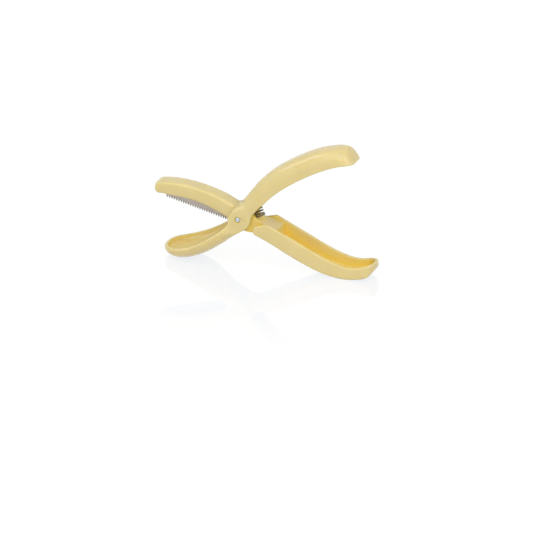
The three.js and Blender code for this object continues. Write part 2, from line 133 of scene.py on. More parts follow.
def smooth(value: Array, start: float, end: float) -> Array:
    """The smoothstep of a value: 0 before start, 1 after end, and 3t^2 - 2t^3 between."""
    share = np.clip((np.asarray(value, float) - start) / (end - start), 0, 1)
    return share * share * (3 - 2 * share)


def mix(first: Any, second: Any, share: Any) -> Any:
    """The value that lies a share of the way from the first to the second."""
    return first + (second - first) * share


def round_in(radius: float, depth: Array) -> Array:
    """How far a quarter circle draws in at a depth behind its end: r - sqrt(r^2 - (r - depth)^2)."""
    left = np.clip(radius - np.asarray(depth, float), 0, radius)
    return radius - np.sqrt(radius**2 - left**2)


def end_places(start: float, end: float, rounded: float) -> Array:
    """Places along a rail: even steps, then steps that close up as a quarter sine into a rounded end.

    Args:
        start: The first point number.
        end: The last point number.
        rounded: The length of the rounded end, in point numbers.

    Returns:
        The point numbers, rising.
    """
    step = 1 / ROWS_PER_SPAN
    even = np.arange(start, end - rounded - step / 2, step)
    turn = np.linspace(0, math.pi / 2, END_ROWS + 1)
    return np.concatenate([even, end - rounded * (1 - np.sin(turn))])


def distinct(*runs: Any) -> Array:
    """The places of some runs in rising order, less those within half a hair of the one before."""
    every = np.unique(np.concatenate(runs).round(5))
    return every[np.concatenate([[True], np.diff(every) > HAIR / 2])]


def beside(*runs: Any) -> Array:
    """Arrays of one shape side by side, in a new last axis."""
    return np.stack(runs, axis=-1)


class Rail:
    """A smooth run through points in X and Z, read by point number as a uniform Catmull-Rom spline."""

    def __init__(self, points: Points) -> None:
        """Keeps the points, with the first and the last one doubled."""
        run = np.asarray(points, float)
        self.last = len(run) - 1
        self.padded = np.vstack([run[:1], run, run[-1:]])

    def at(self, place: Any) -> Array:
        """The points at some point numbers.

        Args:
            place: One point number or an array of them.

        Returns:
            X and Z in the last axis: half of 2b + (c-a)t + (2a-5b+4c-d)t^2 + (3b-a-3c+d)t^3.
        """
        held = np.clip(np.asarray(place, float), 0, self.last)
        start = np.minimum(held.astype(int), self.last - 1)
        t = (held - start)[..., None]
        a, b, c, d = (self.padded[start + step] for step in range(4))
        cubic = 3 * b - a - 3 * c + d
        square = 2 * a - 5 * b + 4 * c - d
        return 0.5 * (2 * b + (c - a) * t + square * t**2 + cubic * t**3)

    def span(self, near: int) -> float:
        """The straight distance from a point to the next one."""
        return float(np.linalg.norm(self.at(near + 1) - self.at(near)))


@dataclass
class Hollow:
    """A hollow cut into one edge of a section, row by row.

    Attributes:
        half: Half width of the hollow.
        depth: Depth below the edge.
        corner: Size across and size along of the quarter ellipse at its bottom corner.
        rim: Size across and size along of the quarter ellipse that rounds its rim.
    """

    half: Array
    depth: Array
    corner: Array
    rim: Array

    @classmethod
    def none(cls, rows: int) -> Hollow:
        """No hollow, for a number of rows."""
        return cls(np.zeros(rows), np.zeros(rows), np.zeros((rows, 2)), np.zeros((rows, 2)))


@dataclass
class Sections:
    """Successive cross sections of a lever, row by row.

    Attributes:
        low: X and Z of the middle of the lower edge.
        high: X and Z of the middle of the upper edge.
        half: Half width.
        low_round: Size across and size along of the lower corners.
        high_round: Size across and size along of the upper corners.
        low_hollow: The hollow in the lower edge.
        high_hollow: The hollow in the upper edge.
    """

    low: Array
    high: Array
    half: Array
    low_round: Array
    high_round: Array
    low_hollow: Hollow
    high_hollow: Hollow

    @property
    def height(self) -> Array:
        """The length of each section's middle line."""
        return np.linalg.norm(self.high - self.low, axis=1)

    @property
    def up(self) -> Array:
        """The direction of each section's middle line."""
        return (self.high - self.low) / self.height[:, None]

    def solid(self, inset: float) -> Sections:
        """The same sections with no hollows, drawn in all round."""
        rows = len(self.half)
        return replace(
            self,
            low=self.low + self.up * inset,
            high=self.high - self.up * inset,
            half=self.half - inset,
            low_hollow=Hollow.none(rows),
            high_hollow=Hollow.none(rows),
        )

    def drawn_in(self, side: float, below: float, above: float, depth: Array) -> Sections:
        """The sections drawn in towards a rounded end.

        Args:
            side: Radius at the sides.
            below: Radius at the lower edge.
            above: Radius at the upper edge.
            depth: Each row's distance from the end.

        Returns:
            The drawn-in sections.
        """
        most = self.height / 2 - LEFT_AT_END
        rise = np.minimum(round_in(below, depth), most)
        drop = np.minimum(round_in(above, depth), most)
        return replace(
            self,
            low=self.low + self.up * rise[:, None],
            high=self.high - self.up * drop[:, None],
            half=self.half - round_in(side, depth),
        )

    def rings(self) -> Array:
        """The closed outlines of the sections.

        The right half runs from the middle of the lower hollow over its corner and its rim, round the lower
        and the upper outside corner, over the upper rim and corner to the middle of the upper hollow, each
        turn a quarter ellipse. The left half is its mirror image.

        Returns:
            Rows of points in X, Y and Z.
        """
        height = self.height
        zero = np.zeros_like(height)
        low_fit = np.minimum(self.low_round[:, 1], height * ROUND_SHARE)
        high_fit = np.minimum(self.high_round[:, 1], height - low_fit)
        low_wide = np.minimum(self.low_round[:, 0], self.half)
        high_wide = np.minimum(self.high_round[:, 0], self.half)
        lower, upper = self.low_hollow, self.high_hollow
        floor = height - upper.depth
        (low_turn, low_lift), (low_rim, low_edge) = lower.corner.T, lower.rim.T
        (high_turn, high_lift), (high_rim, high_edge) = upper.corner.T, upper.rim.T
        turns = [
            (zero, lower.depth, zero, zero, 0, 0, 0),
            (lower.half - low_turn, lower.depth - low_lift, low_turn, low_lift, 90, 0, ARC_STEPS),
            (lower.half + low_rim, low_edge, low_rim, low_edge, 180, 270, ARC_STEPS),
            (self.half - low_wide, low_fit, low_wide, low_fit, -90, 0, BOWL_STEPS),
            (self.half - high_wide, height - high_fit, high_wide, high_fit, 0, 90, ARC_STEPS),
            (upper.half + high_rim, height - high_edge, high_rim, high_edge, 90, 180, ARC_STEPS),
            (upper.half - high_turn, floor + high_lift, high_turn, high_lift, 0, -90, BOWL_STEPS),
            (zero, floor, zero, zero, 0, 0, 0),
        ]
        right = np.concatenate([quarter(*turn) for turn in turns], axis=1)
        left = right[:, -2:0:-1] * np.array([-1.0, 1.0])
        outline = np.concatenate([right, left], axis=1)
        level = outline[..., 1]
        x = self.low[:, :1] + self.up[:, :1] * level
        z = self.low[:, 1:] + self.up[:, 1:] * level
        return beside(x, outline[..., 0], z)


def quarter(y: Array, z: Array, wide: Array, tall: Array, start: float, end: float, steps: int) -> Array:
    """Part of an ellipse for every row: y + wide cos(angle), z + tall sin(angle).

    Args:
        y: Middle across, by row.
        z: Middle along, by row.
        wide: Half axis across, by row.
        tall: Half axis along, by row.
        start: First angle in degrees.
        end: Last angle in degrees.
        steps: Steps between them.

    Returns:
        Rows of points, across and along.
    """
    angle = np.radians(np.linspace(start, end, steps + 1))
    across = y[:, None] + wide[:, None] * np.cos(angle)
    along = z[:, None] + tall[:, None] * np.sin(angle)
    return beside(across, along)


def grid_faces(rows: int, columns: int, around: bool = False) -> Array:
    """The quads of a grid whose columns close into a ring.

    Args:
        rows: Rows of the grid.
        columns: Columns of the grid.
        around: Whether the last row also joins the first.

    Returns:
        Four vertex numbers in each row.
    """
    number = np.arange(rows * columns).reshape(rows, columns)
    turned = np.roll(number, -1, axis=1)
    ahead = np.roll(number, -1, axis=0)
    ahead_turned = np.roll(turned, -1, axis=0)
    quads = beside(number, turned, ahead_turned, ahead)
    return (quads if around else quads[:-1]).reshape(-1, 4)


def add_object(name: str, data: Any) -> bpy.types.Object:
    """A new object in the scene that holds a mesh, a camera or a light."""
    thing = bpy.data.objects.new(name, data)
    bpy.context.scene.collection.objects.link(thing)
    return thing


class Blank:
    """A closed mesh in millimetres that can be cut, joined and finished."""

    def __init__(self, name: str, points: Array, faces: list[list[int]]) -> None:
        """Makes the mesh, merges its doubles and turns its faces outwards.

        Args:
            name: The name of the object.
            points: Vertices in X, Y and Z.
            faces: Vertex numbers of each face.
        """
        mesh = bpy.data.meshes.new(name)
        mesh.from_pydata(points.reshape(-1, 3).tolist(), [], faces)
        self.thing = add_object(name, mesh)
        self.weld(MERGE_NEW)

    @classmethod
    def loft(cls, name: str, rings: Array) -> Blank:
        """A skin over rows of closed outlines, with the first and the last one filled.

        Args:
            name: The name of the object.
            rings: Rows of points.

        Returns:
            The closed blank.
        """
        rows, columns = rings.shape[:2]
        last = (rows - 1) * columns
        caps = [list(range(columns))[::-1], list(range(last, last + columns))]
        return cls(name, rings, grid_faces(rows, columns).tolist() + caps)

    @classmethod
    def plate(cls, name: str, outline: Array, half: float) -> Blank:
        """A side outline in X and Z given a thickness: the outline at Y = -half and again at Y = half."""
        side = np.full(len(outline), half)
        near = beside(outline[:, 0], -side, outline[:, 1])
        return cls.loft(name, np.stack([near, near * np.array([1.0, -1.0, 1.0])]))

    @classmethod
    def lathe(cls, name: str, profile: Points, axis: Axis, hollow: bool = False) -> Blank:
        """A profile turned round an axis: radius times the turning direction, plus height along the axis.

        Args:
            name: The name of the object.
            profile: Radius and height of each profile point.
            axis: The line that it turns round.
            hollow: Whether the profile is a closed ring that stays clear of the axis.

        Returns:
            The turned blank.
        """
        radius, height = np.asarray(profile, float).T
        angle = np.linspace(0, 2 * math.pi, ROUND_SIDES, endpoint=False)
        out = axis.around(angle)
        points = axis.foot + radius[:, None, None] * out + height[:, None, None] * axis.along
        return cls(name, points, grid_faces(len(radius), ROUND_SIDES, hollow).tolist())

    @classmethod
    def rod(cls, name: str, radius: float, start: float, end: float, axis: Axis) -> Blank:
        """A plain round rod along an axis, from one height to another."""
        return cls.lathe(name, [(0, start), (radius, start), (radius, end), (0, end)], axis)

    def weld(self, distance: float) -> None:
        """Merges vertices that lie within a distance, drops slivers and turns the faces outwards."""
        work = bmesh.new()
        work.from_mesh(self.thing.data)
        bmesh.ops.remove_doubles(work, verts=work.verts, dist=distance)
        bmesh.ops.dissolve_degenerate(work, edges=work.edges, dist=distance)
        bmesh.ops.recalc_face_normals(work, faces=work.faces)
        work.to_mesh(self.thing.data)
        work.free()

    def bake(self) -> None:
        """Works the modifiers into the mesh."""
        graph = bpy.context.evaluated_depsgraph_get()
        baked = bpy.data.meshes.new_from_object(self.thing.evaluated_get(graph))
        self.thing.modifiers.clear()
        old = self.thing.data
        self.thing.data = baked
        bpy.data.meshes.remove(old)

    def work(self, cut: Cut, tool: Blank) -> Blank:
        """Joins another blank to this one, takes it away or keeps what both share, and uses it up."""
        step = self.thing.modifiers.new(cut.name.lower(), "BOOLEAN")
        step.operation = cut.value
        step.solver = "MANIFOLD"
        step.object = tool.thing
        self.bake()
        mesh = tool.thing.data
        bpy.data.objects.remove(tool.thing)
        bpy.data.meshes.remove(mesh)
        return self

    def soften(self, width: float, angle: float) -> None:
        """Rounds the edges that turn more than an angle, by a width in millimetres."""
        self.weld(MERGE_CUT)
        step = self.thing.modifiers.new("soft_edges", "BEVEL")
        step.width = width
        step.segments = SOFT_SEGMENTS
        step.limit_method = "ANGLE"
        step.angle_limit = math.radians(angle)
        step.use_clamp_overlap = False
        self.bake()
        self.weld(MERGE_SOFT)

    def place(self, pivot: Vector, sharp: float) -> bpy.types.Object:
        """Puts the finished mesh into the frame.

        Args:
            pivot: The pivot in the frame, in metres.
            sharp: The angle in degrees past which an edge stays sharp.

        Returns:
            The object, at the origin, with its place in its mesh.
        """
        mesh = self.thing.data
        mesh.transform(Matrix.Translation(pivot) @ Matrix.Scale(MILLIMETRE, 4))
        mesh.shade_smooth()
        mesh.set_sharp_from_angle(angle=math.radians(sharp))
        mesh.materials.clear()
        return self.thing


@dataclass
class Axis:
    """A line with a square frame about it.

    Attributes:
        foot: A point on the line.
        along: The direction of the line.
        side: A direction square to the line.
    """

    foot: Array
    along: Array
    side: Array

    @property
    def front(self) -> Array:
        """The third direction of the frame."""
        return np.cross(self.side, self.along)

    def around(self, angle: Array) -> Array:
        """Directions square to the line: cos(angle) times the side plus sin(angle) times the front."""
        return np.cos(angle)[:, None] * self.side + np.sin(angle)[:, None] * self.front

    def moved(self, distance: float) -> Axis:
        """The same line with its foot moved along it."""
        return replace(self, foot=self.foot + self.along * distance)


def across_axis(x: float = 0.0, z: float = 0.0) -> Axis:
    """The line across the tool through a point in X and Z, by default the hinge line."""
    return Axis(np.array([x, 0.0, z]), np.array([0.0, 1.0, 0.0]), np.array([1.0, 0.0, 0.0]))


@dataclass(frozen=True)
class LeverSizes:
    """Sizes that both levers share, in millimetres."""

    half: float = 12.1
    wall: float = 2.4
    rim: float = 1.1
    slot_half: float = 7.3
    jaw_half: float = 7.0
    pivot_height: float = 36.3
    foot_flat: float = 0.25
    bore: float = 1.58
    soft_edge: float = 0.35
    soft_angle: float = 50.0


LEVER = LeverSizes()


def under_floor() -> Blank:
    """What lies under the floor plane: a block longer and wider than the tool."""
    front, back, half = -70.0, 115.0, 30.0
    low, high = -LEVER.pivot_height - PAST, -LEVER.pivot_height
    outline = np.array([(front, low), (back, low), (back, high), (front, high)])
    return Blank.plate("under_floor", outline, half)


@dataclass
class OpeningSpring:
    """The coil spring between the handles, and the seats that it stands on.

    Attributes:
        lean: How far the spring leans back from upright, in degrees.
        dead_pitch: The rise of a closed end coil, in wires.
        held_wires: The length of the held coil at each end, in wires.
        tip_share: The radius of the wire's cut ends, as a share of the wire's.
    """

    diameter: float = 7.6
    wire: float = 0.8
    coils: float = 8.0
    dead_coils: float = 1.0
    dead_pitch: float = 1.1
    held_wires: float = 1.5
    tip_share: float = 0.72
    foot: Pair = (14.3, 0.9)
    length: float = 15.1
    lean: float = 22.0
    seat_gap: float = 0.1
    spigot_fit: float = 0.4
    spigot_height: float = 2.2
    spigot_chamfer: float = 0.5
    boss_rim: float = 0.6
    pocket_room: float = 0.4
    pocket_deep: float = 12.0
    post_root: float = 5.0
    steps_per_coil: int = 40
    wire_sides: int = 14

    @property
    def lower_axis(self) -> Axis:
        """The spring's line, from its lower seat."""
        lean = math.radians(self.lean)
        along = np.array([-math.sin(lean), 0.0, math.cos(lean)])
        return Axis(np.array([self.foot[0], 0.0, self.foot[1]]), along, np.array([0.0, 1.0, 0.0]))

    @property
    def upper_axis(self) -> Axis:
        """The same line, from the upper seat."""
        return self.lower_axis.moved(self.length + 2 * self.seat_gap)

    @property
    def boss_radius(self) -> float:
        """The radius of the seats."""
        return self.diameter / 2 + self.boss_rim

    def spigot(self, axis: Axis, way: float, root: float) -> Blank:
        """A stub that holds one end: a rod with a chamfered tip, from under a seat into the coil.

        Args:
            axis: The spring's line, from the seat.
            way: 1 for a stub that stands up the line, -1 for one that hangs down it.
            root: How far it starts behind the seat.

        Returns:
            The stub.
        """
        radius = self.diameter / 2 - self.wire - self.spigot_fit
        tip, edge = self.spigot_height, self.spigot_chamfer
        shape = [(0, -root), (radius, -root), (radius, tip - edge), (radius - edge, tip), (0, tip)]
        return Blank.lathe("spigot", [(r, way * h) for r, h in shape], axis)

    def pocket(self) -> Blank:
        """The room for the lower end: a round hole sunk along the spring's line."""
        radius = self.diameter / 2 + self.pocket_room
        return Blank.rod("pocket", radius, 0, self.pocket_deep, self.lower_axis)

    def line(self, coil: Array) -> Array:
        """The middle line of the wire.

        The wire turns round the axis at one radius. It climbs by a little more than its own thickness in
        each closed end coil and evenly in the coils between them.

        Args:
            coil: How many turns from the lower end, as an array.

        Returns:
            Points in X, Y and Z.
        """
        closed = self.wire * self.dead_pitch
        live = self.coils - 2 * self.dead_coils
        pitch = (self.length - self.wire - 2 * self.dead_coils * closed) / live
        into = np.clip(coil - self.dead_coils, 0, live)
        rise = self.seat_gap + self.wire / 2 + closed * (coil - into) + pitch * into
        axis = self.lower_axis
        radius = (self.diameter - self.wire) / 2
        turn = axis.around(2 * math.pi * coil)
        return axis.foot + radius * turn + rise[:, None] * axis.along

    def build(self) -> Blank:
        """The wire: a circle carried along the coil, square to it, with rounded ends.

        Returns:
            The closed blank.
        """
        count = round(self.coils * self.steps_per_coil)
        coil = np.linspace(0, self.coils, count)
        middle = self.line(coil)
        ahead = np.gradient(middle, axis=0)
        ahead /= np.linalg.norm(ahead, axis=1)[:, None]
        out = self.lower_axis.around(2 * math.pi * coil)
        out -= (out * ahead).sum(axis=1)[:, None] * ahead
        out /= np.linalg.norm(out, axis=1)[:, None]
        up = np.cross(ahead, out)
        around = np.linspace(0, 2 * math.pi, self.wire_sides, endpoint=False)
        ends = np.minimum(np.arange(count), np.arange(count)[::-1])
        radius = self.wire / 2 * np.where(ends == 0, self.tip_share, 1.0)
        ring = np.cos(around)[:, None] * out[:, None] + np.sin(around)[:, None] * up[:, None]
        return Blank.loft("coiled_wire", middle[:, None] + radius[:, None, None] * ring)

    def fit(self, thing: bpy.types.Object, pivot: Vector) -> None:
        """Bakes the placed wire's transform into its mesh; the ends of its held coils are worked out but
        not used.

        Args:
            thing: The placed spring.
            pivot: The pivot in the frame, in metres.
        """
        closed = self.held_wires * self.wire
        start = self.lower_axis.moved(closed).foot
        end = self.lower_axis.moved(self.length - closed).foot
        start_m, end_m = (pivot + Vector(p) * MILLIMETRE for p in (start, end))
        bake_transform(thing)


@dataclass
class Cup:
    """The spoon-shaped cup at the front of the cup lever.

    Attributes:
        bowl_across, bowl_depth: The shares of the half width and of the depth that the bowl's turn takes.
        least_depth: The bowl's least depth, in rim edges.
        tip_angle, bowl_angles: Where the rows start at the tip, and where they run in the bowl, in radians.
    """

    reach: float = 59.0
    width: float = 41.6
    fullness: float = 2.5
    widest: float = -28.0
    heel: float = -14.5
    heel_flare: float = 4.8
    lowest: float = -46.5
    tip_rise: float = 5.5
    heel_bottom: float = -23.0
    sweep: float = 1.75
    rim_tip: float = -27.5
    rim_slope: float = -0.04
    rim_curl: float = 0.0094
    bowl_across: float = 0.94
    bowl_depth: float = 0.9
    least_height: float = 0.3
    least_depth: float = 1.05
    edge_rows: int = 8
    flat_rows: int = 4
    bowl_rows: int = 46
    tip_angle: float = 0.16
    bowl_angles: Pair = (0.05, math.radians(84))

    def rim(self, x: Array) -> Array:
        """The height of the rim: a parabola from the tip."""
        run = x + self.reach
        return self.rim_tip + self.rim_slope * run + self.rim_curl * run**2

    def underside(self, x: Array, wall: float) -> Array:
        """The height of the underside, or of the bowl inside a wall.

        Args:
            x: Places along the tool.
            wall: Thickness of the wall, 0 for the outside.

        Returns:
            Heights: a quarter ellipse from the tip to the lowest place, then a power curve up to the heel.
        """
        bottom = -LEVER.pivot_height - LEVER.foot_flat
        back = np.clip((x - self.lowest) / (self.heel - self.lowest), 0, None)
        front = np.clip((self.lowest - x) / (self.reach + self.lowest - wall), 0, 1)
        rise = (self.heel_bottom - bottom) * back**self.sweep
        return bottom + wall + rise + self.tip_rise * (1 - np.sqrt(1 - front**2))

    def half(self, x: Array, wall: float) -> Array:
        """Half the width of the cup inside a wall.

        Args:
            x: Places along the tool.
            wall: Distance in from the outside.

        Returns:
            Half widths: a superellipse from the tip to the widest place, then a parabola in to the heel.
        """
        widest = self.width / 2 - wall
        share = np.clip((self.widest - x) / (self.reach + self.widest - wall), 0, 1)
        front = widest * (1 - share**self.fullness) ** (1 / self.fullness)
        narrowing = np.clip((x - self.widest) / (self.heel - self.widest), 0, 1)
        back = mix(widest, LEVER.half + self.heel_flare - wall, narrowing**2)
        return np.where(x < self.widest, front, back)

    def rows(self) -> Array:
        """Places from the tip towards the heel, closest over the rounded rim of the tip."""
        edge, wall = LEVER.rim, LEVER.wall
        outer = edge * (1 - np.cos(np.linspace(self.tip_angle, math.pi / 2, self.edge_rows)))
        flat = np.linspace(edge, wall - edge, self.flat_rows)[1:]
        inner = wall - edge + edge * np.sin(np.linspace(0, math.pi / 2, self.edge_rows)[1:-1])
        sweep = 1 - np.cos(np.linspace(*self.bowl_angles, self.bowl_rows))
        bowl = wall + (self.reach + self.heel - wall) * sweep
        near = [wall - SLIVER, wall + SLIVER]
        return np.concatenate([outer, flat, inner, near, bowl]) - self.reach

    def sections(self) -> Sections:
        """The cup's upright sections.

        The rim is a half round: the outside corner and the rim of the hollow are the runs between the
        outline, the outline set in by one edge, by the wall less one edge, and by the wall.

        Returns:
            The sections from the tip to the heel.
        """
        x = self.rows()
        depth_in = x + self.reach
        edge, wall = LEVER.rim, LEVER.wall
        drop = round_in(edge, depth_in)
        floor = self.underside(x, 0)
        top = np.maximum(self.rim(x) - drop, floor + self.least_height)
        half = self.half(x, 0)
        inside = depth_in > wall
        over = depth_in > wall - edge
        bowl_half = np.where(inside, self.half(x, wall), 0)
        rim_start = np.where(over, self.half(x, wall - edge), 0)
        past = np.clip(depth_in - wall + edge, 0, edge)
        dip = edge - np.sqrt(edge**2 - past**2)
        depth = np.maximum(top - self.underside(x, wall), edge * self.least_depth)
        depth = np.where(inside, depth, dip)
        rim_tall = np.minimum(edge, depth)
        corner_tall = np.minimum(depth * self.bowl_depth, depth - rim_tall)
        edge_wide = half - np.where(depth_in > edge, self.half(x, edge), 0)
        edge_tall = edge - drop
        height = top - floor
        bowl = np.minimum(height * self.bowl_depth, height - edge_tall)
        return Sections(
            low=beside(x, floor),
            high=beside(x, top),
            half=half,
            low_round=beside(half * self.bowl_across, bowl),
            high_round=beside(edge_wide, edge_tall),
            low_hollow=Hollow.none(len(x)),
            high_hollow=Hollow(
                half=bowl_half,
                depth=depth,
                corner=beside(bowl_half * self.bowl_across, corner_tall),
                rim=beside(rim_start - bowl_half, rim_tall),
            ),
        )


def joined(first: Any, second: Any) -> Any:
    """Two runs of sections, two hollows or two arrays, end to end."""
    if isinstance(first, Array):
        return np.concatenate([first, second])
    names = [part.name for part in fields(first)]
    return type(first)(*(joined(getattr(first, name), getattr(second, name)) for name in names))


@dataclass
class CupLever:
    """The lever that runs from the cup through the fork to the upper handle.

    Sizes that end in _begins, _ends, _full, _lead or _runs_in are point numbers on the rails, and so is
    jaw_opening.
    """

    spring: OpeningSpring
    cup: Cup = field(default_factory=Cup)
    end_corner: float = 9.0
    end_round: float = 1.4
    crest_edge: float = 9.0
    crest_lift: float = 1.5
    lift_begins: float = 8.0
    cheek_edge: float = 1.2
    heel_corner: float = 3.0
    heel_ends: float = 2.4
    heel_turn: float = 0.95
    cavity_ends: float = 1.7
    bridge_ends: float = 2.6
    crest_begins: float = 4.6
    roof_lead: float = 1.0
    roof_begins: float = 6.8
    roof_full: float = 8.4
    channel_begins: float = 6.5
    channel_full: float = 9.0
    hub_room: float = 9.8
    hub_steps: int = 44
    slot_lap: float = 0.3
    slot_clear: float = 0.6
    slot_runs_in: float = 0.4
    jaw_opening: Pair = (1.0, 4.0)
    boss_inset: float = 0.5
    boss_root: float = 14.0
    head_room: float = 2.2
    head_seat: float = -10.5
    washer_room: float = 3.85
    washer_seat: float = 9.8
    gate_mark: Pair = (16.6, 17.9)
    gate_radius: float = 0.4
    gate_depth: float = 0.3
    back: Points = (
        (-14.5, -11.1), (-9.4, -6.8), (-7.6, -3.2), (-7.4, 0.3), (-6.2, 3.4), (-4.2, 6.7), (-0.9, 10.4),
        (3.5, 15.5), (8.7, 22.4), (14.6, 29.6), (22.5, 36.9), (31.6, 43.6), (45.0, 51.4), (59.5, 58.0),
        (71.5, 61.2), (83.3, 62.9),
    )
    open_side: Points = (
        (-12.2, -21.3), (-5.0, -15.1), (0.5, -10.6), (5.6, -7.0), (9.1, -2.5), (10.2, 2.8), (12.7, 6.7),
        (16.2, 10.8), (19.8, 14.1), (24.5, 19.1), (31.0, 25.0), (39.0, 31.1), (52.0, 39.3), (66.5, 46.8),
        (79.0, 51.5), (89.5, 53.3),
    )

    def __post_init__(self) -> None:
        """Draws the two rails and finds where the channel ends."""
        self.back_rail = Rail(self.back)
        self.open_rail = Rail(self.open_side)
        self.last = self.open_rail.last
        self.end_span = self.open_rail.span(self.last - 1)
        self.heel_span = self.open_rail.span(0)
        self.channel_end = self.last - LEVER.wall / self.end_span
        self.channel_corner = self.end_corner - LEVER.wall

    def places(self) -> Array:
        """Point numbers along the rails, with the rows that the hollows need."""
        outside = end_places(0, self.last, self.end_corner / self.end_span)
        heel = end_places(0, self.cavity_ends, self.heel_corner / self.heel_span)
        corner = self.channel_corner / self.end_span
        channel = end_places(self.channel_begins, self.channel_end, corner)
        walls = np.array([self.cavity_ends, self.channel_begins, self.channel_end]) + HAIR
        return distinct(outside, heel, channel, walls)

    def heel_hollow(self, place: Array, plain: Sections) -> Hollow:
        """The cup's hollow carried on into the heel, ending in a rounded wall.

        Args:
            place: Point numbers of the rows.
            plain: The sections without hollows.

        Returns:
            The hollow of the upper edge.
        """
        held = np.minimum(place, self.cavity_ends)
        draw = LEVER.wall + round_in(self.heel_corner, (self.cavity_ends - held) * self.heel_span)
        open_here = place <= self.cavity_ends + HAIR / 2
        depth = np.where(open_here, plain.height - draw, 0)
        flat = np.maximum(plain.half - plain.high_round[:, 0], 0) / 2
        half = np.where(place < self.cavity_ends + 2 * HAIR, plain.half - draw, flat)
        rim = np.where(open_here, LEVER.rim, 0)
        wide = np.where(open_here, np.minimum(plain.low_round[:, 0], half * self.heel_turn), 0)
        tall = np.where(open_here, np.minimum(plain.low_round[:, 1], depth - rim), 0)
        return Hollow(half, depth, beside(wide, tall), beside(rim, rim))

    def handle_hollow(self, place: Array, plain: Sections) -> Hollow:
        """The channel under the handle: as wide as the fork's slot at first, then out to the walls.

        Args:
            place: Point numbers of the rows.
            plain: The sections without hollows.

        Returns:
            The hollow of the lower edge.
        """
        end = self.channel_end
        held = np.minimum(place, end)
        widen = smooth(place, self.channel_begins, self.channel_full)
        full = LEVER.half - LEVER.wall - round_in(self.channel_corner, (end - held) * self.end_span)
        start = LEVER.slot_half - self.slot_lap
        open_here = (place > self.channel_begins + HAIR / 2) & (place <= end + HAIR / 2)
        half = np.minimum(mix(start, full, widen), plain.half - plain.low_round[:, 0] - SLIVER)
        depth = np.where(open_here, plain.height - LEVER.wall, 0)
        rim = np.where(open_here, LEVER.rim, 0)
        turn = np.where(open_here, np.minimum(self.crest_edge - LEVER.wall, half * ROUND_SHARE), 0)
        return Hollow(half, depth, beside(turn, turn), beside(rim, rim))

    def fork_sections(self) -> Sections:
        """The sections of the heel, the fork's cheeks and the handle, on the lines between the two rails.

        Returns:
            The sections from the heel to the rounded end.
        """
        place = self.places()
        low, high = self.open_rail.at(place), self.back_rail.at(place)
        heel = 1 - smooth(place, 0, self.heel_ends)
        roof = smooth(place, self.roof_begins - self.roof_lead, self.roof_full)
        crest = smooth(place, self.crest_begins, self.roof_begins)
        flare = np.clip(1 - place / self.heel_ends, 0, 1) ** 2
        half = LEVER.half + self.cup.heel_flare * flare
        height = np.linalg.norm(high - low, axis=1)
        lifted = np.clip((place - self.lift_begins) / (self.last - self.lift_begins), 0, 1)
        high = high + (high - low) * (self.crest_lift * lifted / height)[:, None]
        edge = LEVER.rim
        open_edge = mix(self.cheek_edge, edge, roof)
        back_edge = mix(mix(self.cheek_edge, edge, heel), self.crest_edge, crest)
        low_wide = mix(open_edge, half * self.cup.bowl_across, heel)
        low_tall = mix(open_edge, height * self.cup.bowl_depth, heel)
        low_round, high_round = beside(low_wide, low_tall), beside(back_edge, back_edge)
        none = Hollow.none(len(place))
        plain = Sections(low, high, half, low_round, high_round, none, none)
        from_end = (self.last - place) * self.end_span
        plain = plain.drawn_in(self.end_corner, edge, self.end_round, from_end)
        return replace(
            plain,
            high_hollow=self.heel_hollow(place, plain),
            low_hollow=self.handle_hollow(place, plain),
        )

    def fork_slot(self) -> Blank:
        """The slot between the cheeks: round the hub, out to the neck's side and up to the roof's edge.

        Returns:
            The cutter.
        """

        def inset(place: float, depth: float, rail: Rail = self.back_rail) -> Array:
            """A point at a depth from a rail, along the way from the back to the open side."""
            way = self.open_rail.at(place) - self.back_rail.at(place)
            return rail.at(place) + way / np.linalg.norm(way) * depth

        roof = self.roof_begins
        under_roof = LEVER.wall + self.slot_clear
        inside = roof + self.slot_runs_in
        between = range(math.floor(inside), math.floor(self.bridge_ends), -1)
        neck = [inset(place, PAST, self.open_rail) for place in (inside, *between, self.bridge_ends)]
        bridge = self.open_rail.at(self.bridge_ends)
        angle = np.linspace(math.atan2(bridge[1], bridge[0]), -math.pi, self.hub_steps)
        arc = self.hub_room * beside(np.cos(angle), np.sin(angle))
        front = [inset(roof, -PAST), inset(roof, under_roof), inset(inside, under_roof)]
        jaw_side = [inset(place, -2 * PAST) for place in self.jaw_opening]
        return Blank.plate("fork_slot", np.vstack([*front, *neck, arc, *jaw_side]), LEVER.slot_half)

    def build(self) -> Blank:
        """One skin from the cup's tip to the handle's end, forked, bored and given its spring seat.

        Returns:
            The finished blank.
        """
        sections = joined(self.cup.sections(), self.fork_sections())
        lever = Blank.loft("moulded_cup_lever", sections.rings())
        axis = self.spring.upper_axis
        boss = Blank.rod("boss", self.spring.boss_radius, 0, self.boss_root, axis)
        boss.work(Cut.KEEP_COMMON, Blank.loft("boss_room", sections.solid(self.boss_inset).rings()))
        hinge = across_axis()
        out = LEVER.half + PAST
        lever.work(Cut.TAKE, self.fork_slot())
        lever.work(Cut.ADD, boss)
        lever.work(Cut.ADD, self.spring.spigot(axis, -1, self.spring.boss_rim))
        lever.work(Cut.TAKE, Blank.rod("bore", LEVER.bore, -out, out, hinge))
        lever.work(Cut.TAKE, Blank.rod("head_room", self.head_room, -out, self.head_seat, hinge))
        lever.work(Cut.TAKE, Blank.rod("washer_room", self.washer_room, self.washer_seat, out, hinge))
        gate, gate_floor = across_axis(*self.gate_mark), self.gate_depth - LEVER.half
        lever.work(Cut.TAKE, Blank.rod("gate_mark", self.gate_radius, -out, gate_floor, gate))
        lever.work(Cut.TAKE, under_floor())
        lever.soften(LEVER.soft_edge, LEVER.soft_angle)
        return lever


